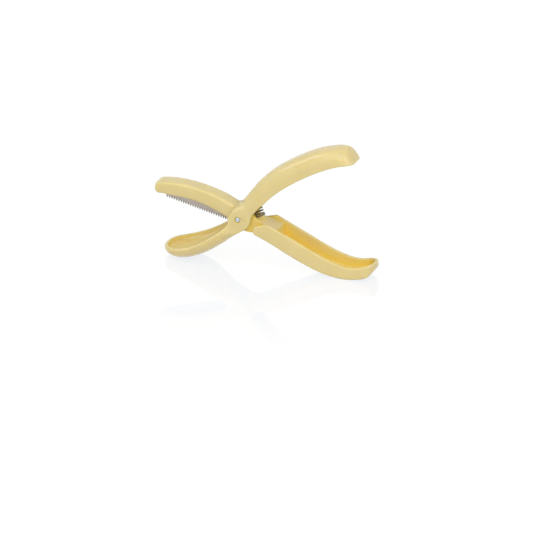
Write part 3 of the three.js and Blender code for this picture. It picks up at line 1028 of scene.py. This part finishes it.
@dataclass
class LowerHandle:
    """The channel-shaped lower handle."""

    end_corner: float = 11.0
    end_round: float = 2.5
    belly_edge: float = 2.0
    floor_corner: float = 1.2
    floor_lift: float = 1.0
    least_half: float = 0.05
    rim_points: Points = (
        (12.4, -4.6), (14.5, -3.0), (22.3, -1.1), (24.6, -1.5), (32.7, -5.4), (48.3, -12.9),
        (63.9, -20.3), (75.0, -24.4), (83.4, -26.5), (91.5, -26.4), (98.0, -24.9), (104.2, -23.4),
    )
    belly_points: Points = (
        (12.4, -9.9), (13.9, -10.8), (17.8, -12.4), (20.2, -13.4), (28.0, -17.1), (43.5, -25.0),
        (60.0, -32.0), (72.6, -35.4), (83.0, -36.425), (94.0, -35.2), (100.5, -32.8), (104.5, -28.2),
    )

    def sections(self) -> Sections:
        """Channel sections on the lines between the rim and the belly, up to the rounded end.

        Returns:
            The sections from the neck outwards.
        """
        rim, belly = Rail(self.rim_points), Rail(self.belly_points)
        last = rim.last
        span = rim.span(last - 1)
        inner_end = last - LEVER.wall / span
        corner = self.end_corner - LEVER.wall
        outside = end_places(0, last, self.end_corner / span)
        inside = end_places(0, inner_end, corner / span)
        place = distinct(outside, inside, [inner_end + HAIR])
        rows = len(place)
        edge = np.full((rows, 2), LEVER.rim)
        low_round = np.full((rows, 2), self.belly_edge)
        none = Hollow.none(rows)
        half = np.full(rows, LEVER.half)
        plain = Sections(belly.at(place), rim.at(place), half, low_round, edge, none, none)
        plain = plain.drawn_in(self.end_corner, self.end_round, LEVER.rim, (last - place) * span)
        open_here = place <= inner_end + HAIR / 2
        held = np.minimum(place, inner_end)
        full = LEVER.half - LEVER.wall - round_in(corner, (inner_end - held) * span)
        room = np.maximum(plain.half - LEVER.rim - SLIVER, self.least_half)
        rim_edge = np.where(open_here, LEVER.rim, 0)
        turn = np.where(open_here, np.minimum(self.floor_corner, full * ROUND_SHARE), 0)
        hollow = Hollow(
            half=np.minimum(full, room),
            depth=np.where(open_here, plain.height - LEVER.wall, 0),
            corner=beside(turn, np.minimum(turn, self.floor_lift)),
            rim=beside(rim_edge, rim_edge),
        )
        return replace(plain, high_hollow=hollow)


@dataclass
class JawBar:
    """The bar from the jaw's nose over the hub and the neck into the web of the lower handle.

    Sizes that end in _fades, _begins or _full are point numbers on the rails.
    """

    top_edge: float = 2.0
    under_edge: float = 2.0
    nose: float = 4.4
    neck_edge: float = 0.8
    jaw_fades: float = 6.1
    hub_begins: float = 7.1
    web_begins: float = 10.5
    web_full: float = 11.2
    top_points: Points = (
        (-67.0, 19.7), (-60.5, 20.55), (-50.3, 21.1), (-38.6, 20.0), (-26.9, 17.6), (-15.2, 13.95),
        (-7.4, 10.3), (-1.5, 7.2), (4.0, 4.4), (9.5, 3.0), (14.6, 0.0), (20.0, -2.7), (24.6, -4.3),
        (28.9, -5.8),
    )
    under_points: Points = (
        (-67.0, 11.4), (-60.5, 11.4), (-50.7, 10.6), (-39.0, 9.4), (-27.3, 6.5), (-16.5, 2.1),
        (-10.0, -1.3), (-5.0, -6.6), (1.5, -9.1), (7.0, -10.3), (13.2, -10.1), (18.8, -11.7),
        (24.2, -14.4), (29.6, -16.8),
    )

    def sections(self) -> Sections:
        """Sections between the top and the underside, rounded along the jaw and drawn in at the nose.

        Returns:
            The sections from the web to the nose.
        """
        top, under = Rail(self.top_points), Rail(self.under_points)
        span = top.span(0)
        place = top.last - end_places(0, top.last, self.nose / span)
        hub = smooth(place, self.jaw_fades, self.hub_begins)
        web = smooth(place, self.web_begins, self.web_full)
        high_edge = mix(self.top_edge, self.neck_edge, hub)
        low_edge = mix(self.under_edge, self.neck_edge, hub)
        none = Hollow.none(len(place))
        plain = Sections(
            low=under.at(place),
            high=top.at(place),
            half=mix(LEVER.jaw_half, LEVER.half - LEVER.wall / 2, web),
            low_round=beside(low_edge, low_edge),
            high_round=beside(high_edge, high_edge),
            low_hollow=none,
            high_hollow=none,
        )
        return plain.drawn_in(self.nose, self.nose, self.nose, place * span)


@dataclass
class ToothedBlade:
    """The thin blade that stands down out of the jaw."""

    front: Pair = (-59.9, 6.75)
    back: Pair = (-10.6, -6.0)
    thickness: float = 1.0
    edge: float = 0.14
    height: float = 11.5
    ground: float = 4.2
    fit: float = 0.15
    pitch: float = 1.85
    depth: float = 2.1
    steps_per_tooth: int = 4
    anchor: float = 3.0
    anchor_inset: float = 2.9
    anchor_places: Pair = (0.3, 0.7)

    def __post_init__(self) -> None:
        """Works out the tooth line and the directions along it and up from it."""
        run = np.subtract(self.back, self.front)
        self.length = float(np.linalg.norm(run))
        self.along = run / self.length
        self.up = np.array([-self.along[1], self.along[0]])

    def on(self, along: Any, up: Any) -> Array:
        """Points in X and Z by the distance along the tooth line and the height above it."""
        far, high = np.broadcast_arrays(np.asarray(along, float), np.asarray(up, float))
        return np.asarray(self.front) + far[..., None] * self.along + high[..., None] * self.up

    def anchors(self, radius: float, half: float) -> list[Blank]:
        """Round bars through the blade at its anchor holes."""
        rods = []
        for share in self.anchor_places:
            middle = self.on(share * self.length, self.height - self.anchor_inset)
            rods.append(Blank.rod("anchor", radius, -half, half, across_axis(*middle)))
        return rods

    def slot(self) -> Blank:
        """The room for the blade in the jaw, less a plug in each anchor hole."""
        ends = np.array([-self.fit, self.length + self.fit, self.length + self.fit, -self.fit])
        levels = np.array([-PAST, -PAST, self.height + self.fit, self.height + self.fit])
        half = self.thickness / 2 + self.fit
        room = Blank.plate("blade_slot", self.on(ends, levels), half)
        for plug in self.anchors(self.anchor / 2 - self.fit, half + PAST):
            room.work(Cut.TAKE, plug)
        return room

    def build(self) -> Blank:
        """The blade: a wedge profile carried along the tooth line.

        The lower edge rises and falls as a triangle wave, one tooth to a pitch. Below the ground line the
        blade thins evenly from its full thickness to its edge.

        Returns:
            The closed blank.
        """
        teeth = math.floor(self.length / self.pitch)
        tooth = np.arange(self.steps_per_tooth * teeth + 1) / self.steps_per_tooth
        low = self.depth * np.abs(tooth % 1 - 0.5) * 2
        thin = mix(self.edge, self.thickness, low / self.ground) / 2
        sizes = (self.thickness / 2, self.ground, self.height)
        full, ground, top = (np.full_like(tooth, size) for size in sizes)
        side = beside(full, full, thin, -thin, -full, -full)
        level = beside(top, ground, low, low, ground, top)
        flat = self.on((tooth * (self.length / teeth))[:, None], level)
        blade = Blank.loft("toothed_strip", beside(flat[..., 0], side, flat[..., 1]))
        for hole in self.anchors(self.anchor / 2, PAST):
            blade.work(Cut.TAKE, hole)
        return blade


@dataclass
class BladeLever:
    """The lever that runs from the bladed jaw through the hub to the lower handle."""

    spring: OpeningSpring
    blade: ToothedBlade = field(default_factory=ToothedBlade)
    handle: LowerHandle = field(default_factory=LowerHandle)
    bar: JawBar = field(default_factory=JawBar)
    hub_radius: float = 9.2

    def build(self) -> Blank:
        """The handle, the bar and the hub as one, with the spring's pocket, the bore and the blade's slot.

        Returns:
            The finished blank.
        """
        lever = Blank.loft("moulded_blade_lever", self.handle.sections().rings())
        hinge = across_axis()
        half = LEVER.jaw_half
        lever.work(Cut.ADD, Blank.loft("bar", self.bar.sections().rings()))
        lever.work(Cut.ADD, Blank.rod("hub", self.hub_radius, -half, half, hinge))
        lever.work(Cut.TAKE, self.spring.pocket())
        lever.work(Cut.ADD, self.spring.spigot(self.spring.lower_axis, 1, self.spring.post_root))
        lever.work(Cut.TAKE, Blank.rod("bore", LEVER.bore, -LEVER.half, LEVER.half, hinge))
        lever.work(Cut.TAKE, self.blade.slot())
        lever.work(Cut.TAKE, under_floor())
        lever.soften(LEVER.soft_edge, LEVER.soft_angle)
        return lever


@dataclass
class Rivet:
    """The rivet that the levers turn on, and the washer under its closed end."""

    radius: float = 1.5
    head_radius: float = 1.95
    head_height: float = 1.2
    head_rim: float = 0.4
    head_rows: int = 10
    head_seat: float = -10.6
    tail_seat: float = 10.6
    washer_outer: float = 3.5
    washer_inner: float = 1.58
    washer_low: float = 9.9
    washer_top: float = 10.5
    washer_edge: float = 0.14

    def dome(self, seat: float, way: float) -> list[tuple[float, float]]:
        """Half the outline of a head: up a short rim, then a quarter ellipse to the axis.

        Args:
            seat: Height of the head's seat.
            way: 1 for a head above its seat, -1 for one below.

        Returns:
            Radius and height of each point, from the seat to the axis.
        """
        angle = np.linspace(0, math.pi / 2, self.head_rows)
        rise = seat + way * self.head_height * mix(self.head_rim, 1, np.sin(angle))
        out = self.head_radius * np.cos(angle)
        out[-1] = 0
        return [(self.head_radius, seat), *zip(out.tolist(), rise.tolist())]

    def build(self) -> Blank:
        """The rivet: a shank between a domed head and a domed closed end."""
        head = self.dome(self.head_seat, -1)[::-1]
        tail = self.dome(self.tail_seat, 1)
        shank = [(self.radius, self.head_seat), (self.radius, self.tail_seat)]
        return Blank.lathe("domed_rivet", [*head, *shank, *tail], across_axis())

    def build_washer(self) -> Blank:
        """The washer: a flat ring with chamfered edges."""
        low, top, edge = self.washer_low, self.washer_top, self.washer_edge
        inner, outer = self.washer_inner, self.washer_outer
        ring = [
            (inner, low),
            (outer, low),
            (outer, top - edge),
            (outer - edge, top),
            (inner + edge, top),
            (inner, top - edge),
        ]
        return Blank.lathe("turned_washer", ring, across_axis(), hollow=True)


class Value:
    """A number on a node socket that takes part in Python arithmetic by adding Math nodes."""

    def __init__(self, board: Board, socket: Socket) -> None:
        """Wraps a socket of a board."""
        self.board = board
        self.socket = socket

    def math(self, operation: str, *others: Any) -> Value:
        """A Math node on this value and others."""
        inputs = dict(enumerate((self, *others)))
        return self.board.value("Math", {"operation": operation}, inputs)

    def __add__(self, other: Any) -> Value:
        """This plus the other."""
        return self.math("ADD", other)

    __radd__ = __add__

    def __mul__(self, other: Any) -> Value:
        """This times the other."""
        return self.math("MULTIPLY", other)

    __rmul__ = __mul__

    def __sub__(self, other: Any) -> Value:
        """This less the other."""
        return self.math("SUBTRACT", other)

    def __rsub__(self, other: Any) -> Value:
        """The other less this."""
        return (self * -1) + other

    def between(self, start: float, end: float) -> Value:
        """0 up to start, 1 from end on, and a straight line between."""
        inputs = {"Value": self, "From Min": start, "From Max": end}
        return self.board.value("MapRange", {"clamp": True}, inputs)


class Board:
    """The nodes of one material or world."""

    def __init__(self, owner: bpy.types.Material | bpy.types.World) -> None:
        """Switches the owner's nodes on and clears them."""
        owner.use_nodes = True
        self.owner = owner
        self.tree = owner.node_tree
        self.tree.nodes.clear()

    def node(self, kind: str, settings: dict[str, Any], inputs: dict[Any, Any]) -> bpy.types.Node:
        """Adds a node.

        Args:
            kind: The node's type, less its first word, ShaderNode.
            settings: Its settings, set first.
            inputs: Values, or links as a Value or a socket, by the socket's name or number.

        Returns:
            The node.
        """
        made = self.tree.nodes.new(f"ShaderNode{kind}")
        for name, setting in settings.items():
            setattr(made, name, setting)
        for name, given in inputs.items():
            source = given.socket if isinstance(given, Value) else given
            if isinstance(source, Socket):
                self.tree.links.new(source, made.inputs[name])
            else:
                made.inputs[name].default_value = source
        return made

    def output(self, kind: str, settings: dict[str, Any], inputs: dict[Any, Any], name: Any = 0) -> Socket:
        """Adds a node and gives one of its outputs."""
        return self.node(kind, settings, inputs).outputs[name]

    def value(self, kind: str, settings: dict[str, Any], inputs: dict[Any, Any], name: Any = 0) -> Value:
        """Adds a node and wraps one of its outputs."""
        return Value(self, self.output(kind, settings, inputs, name))

    def place(self, scale: Triple = (1, 1, 1), turn: Triple = (0, 0, 0)) -> Socket:
        """Object coordinates, turned and scaled."""
        here = self.output("TexCoord", {}, {}, "Object")
        inputs = {"Vector": here, "Rotation": turn, "Scale": scale}
        return self.output("Mapping", {"vector_type": "POINT"}, inputs)

    def vector(self, operation: str, first: Socket, second: Triple) -> Socket:
        """A vector worked out from a vector and a constant one."""
        return self.output("VectorMath", {"operation": operation}, {0: first, 1: second})

    def axes(self, vector: Socket) -> list[Value]:
        """The X, Y and Z of a vector."""
        return [Value(self, axis) for axis in self.node("SeparateXYZ", {}, {0: vector}).outputs]

    def noise(self, vector: Socket, scale: float, detail: float) -> Value:
        """A noise between 0 and 1."""
        return self.value("TexNoise", {}, {"Vector": vector, "Scale": scale, "Detail": detail})

    def blend(self, factor: Any, first: Any, second: Any) -> Socket:
        """A colour between two colours."""
        return self.output("Mix", {"data_type": "RGBA"}, {0: factor, 6: first, 7: second}, 2)

    def bump(self, height: Value, distance: float, strength: float) -> Socket:
        """A normal bumped by a height."""
        return self.output("Bump", {}, {"Height": height, "Distance": distance, "Strength": strength})

    def surface(self, shader: Socket) -> None:
        """Links a shader to the material's output."""
        self.node("OutputMaterial", {}, {"Surface": shader})

    def principled(self, inputs: dict[str, Any]) -> bpy.types.Material:
        """Makes the surface one Principled shader and gives the finished material."""
        self.surface(self.output("BsdfPrincipled", {}, inputs))
        return self.owner


@dataclass(frozen=True)
class MouldedPlastic:
    """Pale cream-yellow moulded plastic with a soft shine, and painted shade: a deeper gold where its own
    walls close round it.

    Attributes:
        pivot: The pivot in the frame. Lengths are in metres.
        shelter_range: The shares of open sky at which the painted shade's gold is full and gone.
        neck_starts to neck_top: Where the painted shade on the neck is gone and where it is full, from the
            pivot.
        shine: The least roughness, and how much the noise adds.
    """

    pivot: Triple
    name: str = "cream_moulded_plastic"
    pale: Colour = (0.81, 0.68, 0.32, 1)
    deep: Colour = (0.775, 0.645, 0.29, 1)
    painted_shade_gold: Colour = (0.96, 0.72, 0.11, 1)
    cloud_scale: float = 70
    cloud_range: Pair = (0.3, 0.7)
    painted_shade_reach: float = 0.014
    shelter_range: Pair = (0.45, 1.0)
    painted_shade_samples: int = 8
    painted_neck_shade: float = 0.75
    neck_starts: Pair = (0.001, 0.006)
    neck_ends: Pair = (0.020, 0.010)
    neck_sides: Pair = (0.0078, 0.0074)
    neck_top: Pair = (0.006, 0.003)
    wave_scale: float = 160
    grain_scale: float = 2600
    grain_share: float = 0.25
    relief: float = 0.00006
    relief_strength: float = 0.5
    shine: Pair = (0.19, 0.06)
    shine_scale: float = 240
    bending: float = 1.46
    scatter: float = 0.5
    scatter_reach: Triple = (1.0, 0.7, 0.14)
    scatter_depth: float = 0.003

    def neck(self, board: Board, here: Socket) -> Value:
        """A mask of painted shade on the neck between the cheeks and the lower handle, where the fork
        shades it.

        Args:
            board: The material's nodes.
            here: Object coordinates.

        Returns:
            1 on the neck and 0 elsewhere.
        """
        along, across, up = board.axes(board.vector("SUBTRACT", here, self.pivot))
        lengthwise = along.between(*self.neck_starts) * along.between(*self.neck_ends)
        inside = across.math("ABSOLUTE").between(*self.neck_sides)
        return lengthwise * inside * up.between(*self.neck_top)

    def make(self) -> bpy.types.Material:
        """A faint cloud of tone, painted shade in a deeper gold, a slightly uneven shine and a fine moulded
        grain.
        """
        board = Board(bpy.data.materials.new(self.name))
        here = board.place()
        cloud = board.noise(here, self.cloud_scale, detail=3).between(*self.cloud_range)
        tone = board.blend(cloud, self.deep, self.pale)
        # Painted shade: a deeper gold wherever the lever's own walls close round the surface, and on the
        # neck.
        settings = {"samples": self.painted_shade_samples, "only_local": True}
        open_sky = board.value("AmbientOcclusion", settings, {"Distance": self.painted_shade_reach}, "AO")
        hollow_painted_shade = 1 - open_sky.between(*self.shelter_range)
        shade = hollow_painted_shade.math("MAXIMUM", self.neck(board, here) * self.painted_neck_shade)
        grain = board.noise(here, self.grain_scale, detail=2)
        height = board.noise(here, self.wave_scale, detail=1) + grain * self.grain_share
        least, more = self.shine
        return board.principled(
            {
                "Base Color": board.blend(shade, tone, self.painted_shade_gold),
                "Roughness": least + more * board.noise(here, self.shine_scale, detail=3),
                "IOR": self.bending,
                "Subsurface Weight": self.scatter,
                "Subsurface Radius": self.scatter_reach,
                "Subsurface Scale": self.scatter_depth,
                "Normal": board.bump(height, self.relief, self.relief_strength),
            }
        )


@dataclass(frozen=True)
class GroundSteel:
    """Satin blade steel, brushed along the blade and darker along the teeth.

    Attributes:
        foot: A point on the tooth line, in metres.
        up: The direction from the tooth line to the blade's back.
        tilt: The slope of the tooth line in degrees.
        shine: The least roughness, and how much the streaks add.
    """

    foot: Triple
    up: Triple
    name: str = "satin_blade_steel"
    light: Colour = (0.49, 0.445, 0.405, 1)
    dark: Colour = (0.355, 0.32, 0.292, 1)
    tilt: float = 14.3
    streak_scale: Triple = (40, 400, 2600)
    streak_share: float = 0.7
    cloud_scale: float = 180
    tone_range: Pair = (0.3, 0.7)
    teeth_tone: float = 0.3
    teeth_height: float = 0.0026
    shine: Pair = (0.3, 0.18)
    relief: float = 0.00002
    relief_strength: float = 0.5

    def make(self) -> bpy.types.Material:
        """Long fine streaks in the tone, the roughness and the relief, and darker teeth."""
        board = Board(bpy.data.materials.new(self.name))
        here = board.place()
        brushed = board.place(self.streak_scale, (0, math.radians(-self.tilt), 0))
        streak = board.noise(brushed, 1, detail=3)
        cloud = board.noise(here, self.cloud_scale, detail=2)
        mottle = streak * self.streak_share + cloud * (1 - self.streak_share)
        body = board.blend(mottle.between(*self.tone_range), self.dark, self.light)
        inputs = {0: board.vector("SUBTRACT", here, self.foot), 1: self.up}
        height = board.value("VectorMath", {"operation": "DOT_PRODUCT"}, inputs, "Value")
        teeth = tuple(share * self.teeth_tone for share in self.dark[:3]) + (1,)
        least, more = self.shine
        return board.principled(
            {
                "Base Color": board.blend(height.between(0, self.teeth_height), teeth, body),
                "Metallic": 1.0,
                "Roughness": least + more * streak,
                "Normal": board.bump(streak, self.relief, self.relief_strength),
            }
        )


@dataclass(frozen=True)
class TurnedSteel:
    """Bright plated steel with faint turning rings round the hinge line.

    Attributes:
        pivot: The pivot in the frame, in metres.
        ring_rate: Radians of the rings' wave to a metre.
        shine: The least roughness, and how much the rings and the cloud add.
    """

    pivot: Triple
    name: str = "bright_rivet_steel"
    light: Colour = (0.62, 0.69, 0.78, 1)
    dark: Colour = (0.47, 0.53, 0.61, 1)
    cloud_scale: float = 900
    ring_rate: float = 26000
    shine: Triple = (0.2, 0.1, 0.1)
    relief: float = 0.00001
    relief_strength: float = 0.4

    def make(self) -> bpy.types.Material:
        """Rings by the distance from the hinge line, in the roughness and the relief."""
        board = Board(bpy.data.materials.new(self.name))
        here = board.place()
        flat = board.vector("MULTIPLY", board.vector("SUBTRACT", here, self.pivot), (1, 0, 1))
        far = board.value("VectorMath", {"operation": "LENGTH"}, {0: flat}, "Value")
        rings = (far * self.ring_rate).math("SINE") * 0.5 + 0.5
        cloud = board.noise(here, self.cloud_scale, detail=3)
        least, ringed, clouded = self.shine
        return board.principled(
            {
                "Base Color": board.blend(cloud, self.dark, self.light),
                "Metallic": 1.0,
                "Roughness": least + ringed * rings + clouded * cloud,
                "Normal": board.bump(rings, self.relief, self.relief_strength),
            }
        )


@dataclass(frozen=True)
class DrawnWire:
    """Spring wire, darker than the rivet, with a drawn sheen.

    Attributes:
        shine: The least roughness, and how much the cloud adds.
    """

    name: str = "drawn_spring_wire"
    light: Colour = (0.44, 0.41, 0.34, 1)
    dark: Colour = (0.03, 0.026, 0.02, 1)
    cloud_scale: float = 700
    shine: Pair = (0.2, 0.12)

    def make(self) -> bpy.types.Material:
        """A cloudy tone and an uneven shine."""
        board = Board(bpy.data.materials.new(self.name))
        cloud = board.noise(board.place(), self.cloud_scale, detail=3)
        tone = board.blend(cloud, self.dark, self.light)
        least, more = self.shine
        return board.principled({"Base Color": tone, "Metallic": 1.0, "Roughness": least + more * cloud})


def seen_rays(board: Board) -> Value:
    """1 for a ray from the camera, a mirror or glass, and 0 for a ray that only lights a surface."""
    path = board.node("LightPath", {}, {}).outputs
    names = ("Is Camera Ray", "Is Glossy Ray", "Is Transmission Ray")
    camera, glossy, through = (Value(board, path[name]) for name in names)
    return camera.math("MAXIMUM", glossy).math("MAXIMUM", through)


@dataclass(frozen=True)
class Lamp:
    """An oblong soft lamp.

    Attributes:
        name: The name of the lamp.
        place: Its place in the frame, in metres.
        size: Its length and breadth, in metres.
        power: Its power in watts.
    """

    name: str
    place: Triple
    size: Pair
    power: float


@dataclass
class Studio:
    """The white floor, the soft light and the camera, in metres and degrees.

    Attributes:
        pivot: The pivot in the frame.
        lens, sensor: The focal length and the sensor's width, in millimetres.
        pivot_pixel: The pivot's place in the picture.
        sky: The surround's strength as light.
        floor_glow, floor_shown: The floor's own white, and its share of what is seen of the floor.
        mirror, mirror_blur: The colour and the roughness of the floor's reflection.
        mirror_fades: The distances from the tool at which the reflection starts to fade and is gone.
    """

    pivot: Vector
    azimuth: float = 19.4
    elevation: float = 21.2
    lens: float = 900.0
    sensor: float = 36.0
    clip_start: float = 0.01
    pixels_per_mm: float = 1.36
    pivot_pixel: Pair = (242.5, 214.9)
    sky: float = 0.42
    floor_half: float = 6.0
    floor_tone: Colour = (0.82, 0.82, 0.82, 1)
    floor_glow: float = 1.04
    floor_shown: float = 0.92
    mirror: Colour = (0.19, 0.15, 0.105, 1)
    mirror_blur: float = 0.03
    mirror_fades: Pair = (0.01, 0.19)
    tool_half_length: float = 0.085
    lamps: tuple[Lamp, ...] = (
        Lamp("key_lamp", (-0.2, -1.0, 0.85), (0.9, 0.9), 3.85),
        Lamp("strip_lamp", (0.15, -0.33, 1.15), (0.9, 0.1), 0.8),
        Lamp("side_lamp", (-0.87, -0.24, 0.86), (0.12, 0.55), 2.1),
        Lamp("fill_lamp", (0.78, -0.56, 0.75), (0.8, 0.8), 4.8),
    )

    @property
    def directions(self) -> tuple[Vector, Vector, Vector]:
        """Right, up and towards the camera."""
        turn, rise = math.radians(self.azimuth), math.radians(self.elevation)
        flat = math.cos(rise)
        towards = Vector((math.sin(turn) * flat, -math.cos(turn) * flat, math.sin(rise)))
        right = Vector((math.cos(turn), math.sin(turn), 0))
        return right, towards.cross(right), towards

    def camera(self) -> None:
        """The camera at the photograph's angle, with the pivot at its place in the picture."""
        right, up, towards = self.directions
        middle = IMAGE_SIZE / 2
        scale = MILLIMETRE / self.pixels_per_mm
        aim = self.pivot + right * (middle - self.pivot_pixel[0]) * scale
        aim = aim + up * (self.pivot_pixel[1] - middle) * scale
        distance = IMAGE_SIZE * self.lens / (self.sensor * self.pixels_per_mm) * MILLIMETRE
        data = bpy.data.cameras.new("photo_camera")
        data.lens = self.lens
        data.sensor_width = self.sensor
        data.clip_start = self.clip_start
        thing = add_object("photo_camera", data)
        turned = Matrix((right, up, towards)).transposed().to_4x4()
        thing.matrix_world = Matrix.Translation(aim + towards * distance) @ turned
        bpy.context.scene.camera = thing

    def mirror_fade(self, board: Board) -> Value:
        """1 on the floor beside the tool's middle line, falling evenly to 0 with the distance from it."""
        along, across, _ = board.axes(board.place())
        past = (along.math("ABSOLUTE") - self.tool_half_length).math("MAXIMUM", 0.0)
        near, far = self.mirror_fades
        return (past * past + across * across).math("SQRT").between(far, near)

    def floor(self) -> None:
        """A wide white floor that keeps the shadow and a faint reflection."""
        half = self.floor_half
        mesh = bpy.data.meshes.new("white_floor")
        corners = [(-half, -half, 0), (half, -half, 0), (half, half, 0), (-half, half, 0)]
        mesh.from_pydata(corners, [], [[0, 1, 2, 3]])
        thing = add_object("white_floor", mesh)
        board = Board(bpy.data.materials.new("white_floor"))
        rest = tuple(1 - share for share in self.mirror[:3]) + (1,)
        dimmed = board.output("Emission", {}, {"Color": rest, "Strength": self.floor_glow})
        gloss = board.output("BsdfGlossy", {}, {"Color": self.mirror, "Roughness": self.mirror_blur})
        mirrored = board.output("AddShader", {}, {0: dimmed, 1: gloss})
        bare = board.output("Emission", {}, {"Color": WHITE, "Strength": self.floor_glow})
        shown = board.output("MixShader", {}, {0: self.mirror_fade(board), 1: bare, 2: mirrored})
        lit = board.output("BsdfDiffuse", {}, {"Color": self.floor_tone})
        share = seen_rays(board) * self.floor_shown
        board.surface(board.output("MixShader", {}, {0: share, 1: lit, 2: shown}))
        mesh.materials.append(board.owner)

    def world(self) -> None:
        """An even white surround: white to the eye and in reflections, dimmer as light."""
        world = bpy.data.worlds.new("white_surround")
        bpy.context.scene.world = world
        board = Board(world)
        strength = self.sky + (1 - self.sky) * seen_rays(board)
        light = board.output("Background", {}, {"Color": WHITE, "Strength": strength})
        board.node("OutputWorld", {}, {"Surface": light})

    def hang(self, lamp: Lamp) -> None:
        """Puts up a lamp that looks at the pivot."""
        data = bpy.data.lights.new(lamp.name, "AREA")
        data.shape = "RECTANGLE"
        data.size, data.size_y = lamp.size
        data.energy = lamp.power
        way = Vector(lamp.place) - self.pivot
        turned = way.to_track_quat("Z", "Y").to_matrix().to_4x4()
        add_object(lamp.name, data).matrix_world = Matrix.Translation(lamp.place) @ turned

    def build(self) -> None:
        """Sets up the floor, the surround, the lamps, the camera and the view."""
        self.floor()
        self.world()
        for lamp in self.lamps:
            self.hang(lamp)
        self.camera()
        bpy.context.scene.view_settings.view_transform = "Standard"


@dataclass
class Cutter:
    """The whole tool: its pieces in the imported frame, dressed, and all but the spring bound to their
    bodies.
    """

    pivot: Vector

    def dress(self, blank: Blank, finish: bpy.types.Material, sharp: float) -> bpy.types.Object:
        """Places a finished blank and gives it its finish.

        Args:
            blank: The finished mesh, in millimetres.
            finish: Its material.
            sharp: The angle in degrees past which an edge stays sharp.

        Returns:
            The placed piece.
        """
        piece = blank.place(self.pivot, sharp)
        piece.data.materials.append(finish)
        log.info("%s: %d faces", piece.name, len(piece.data.polygons))
        return piece

    def build(self) -> None:
        """Builds the pieces in order, from the levers to the spring."""
        plastic = MouldedPlastic(tuple(self.pivot)).make()
        steel = TurnedSteel(tuple(self.pivot)).make()
        spring = OpeningSpring()
        blade = ToothedBlade()
        rivet = Rivet()
        foot = self.pivot + Vector((blade.front[0], 0, blade.front[1])) * MILLIMETRE
        ground = GroundSteel(tuple(foot), (float(blade.up[0]), 0.0, float(blade.up[1])))
        makers: list[tuple[Callable[[], Blank], bpy.types.Material, Slot, float, Body, str]] = [
            (CupLever(spring).build, plastic, Slot.LEVER, 38, Body.CUP, "cup_lever"),
            (BladeLever(spring, blade).build, plastic, Slot.LEVER, 38, Body.BLADE, "blade_lever"),
            (blade.build, ground.make(), Slot.BLADE, 20, Body.BLADE, "serrated_blade"),
            (rivet.build, steel, Slot.RIVET, 40, Body.CUP, "pivot_rivet"),
            (rivet.build_washer, steel, Slot.RIVET, 30, Body.CUP, "rivet_washer"),
        ]
        for make, finish, slot, sharp, body, node in makers:
            piece = self.dress(make(), finish, sharp)
            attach(piece, body.value)
            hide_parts(node)
        wire = self.dress(spring.build(), DrawnWire().make(), 60)
        spring.fit(wire, self.pivot)
        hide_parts("opening_spring")


def main() -> None:
    """Loads the frame and builds the tool and the studio."""
    logging.basicConfig(level=logging.INFO, format="%(name)s: %(message)s")
    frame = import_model()
    pivot = Vector(frame["joints"][0]["pos_m"])
    Cutter(pivot).build()
    Studio(pivot).build()


if __name__ == "__main__":
    main()
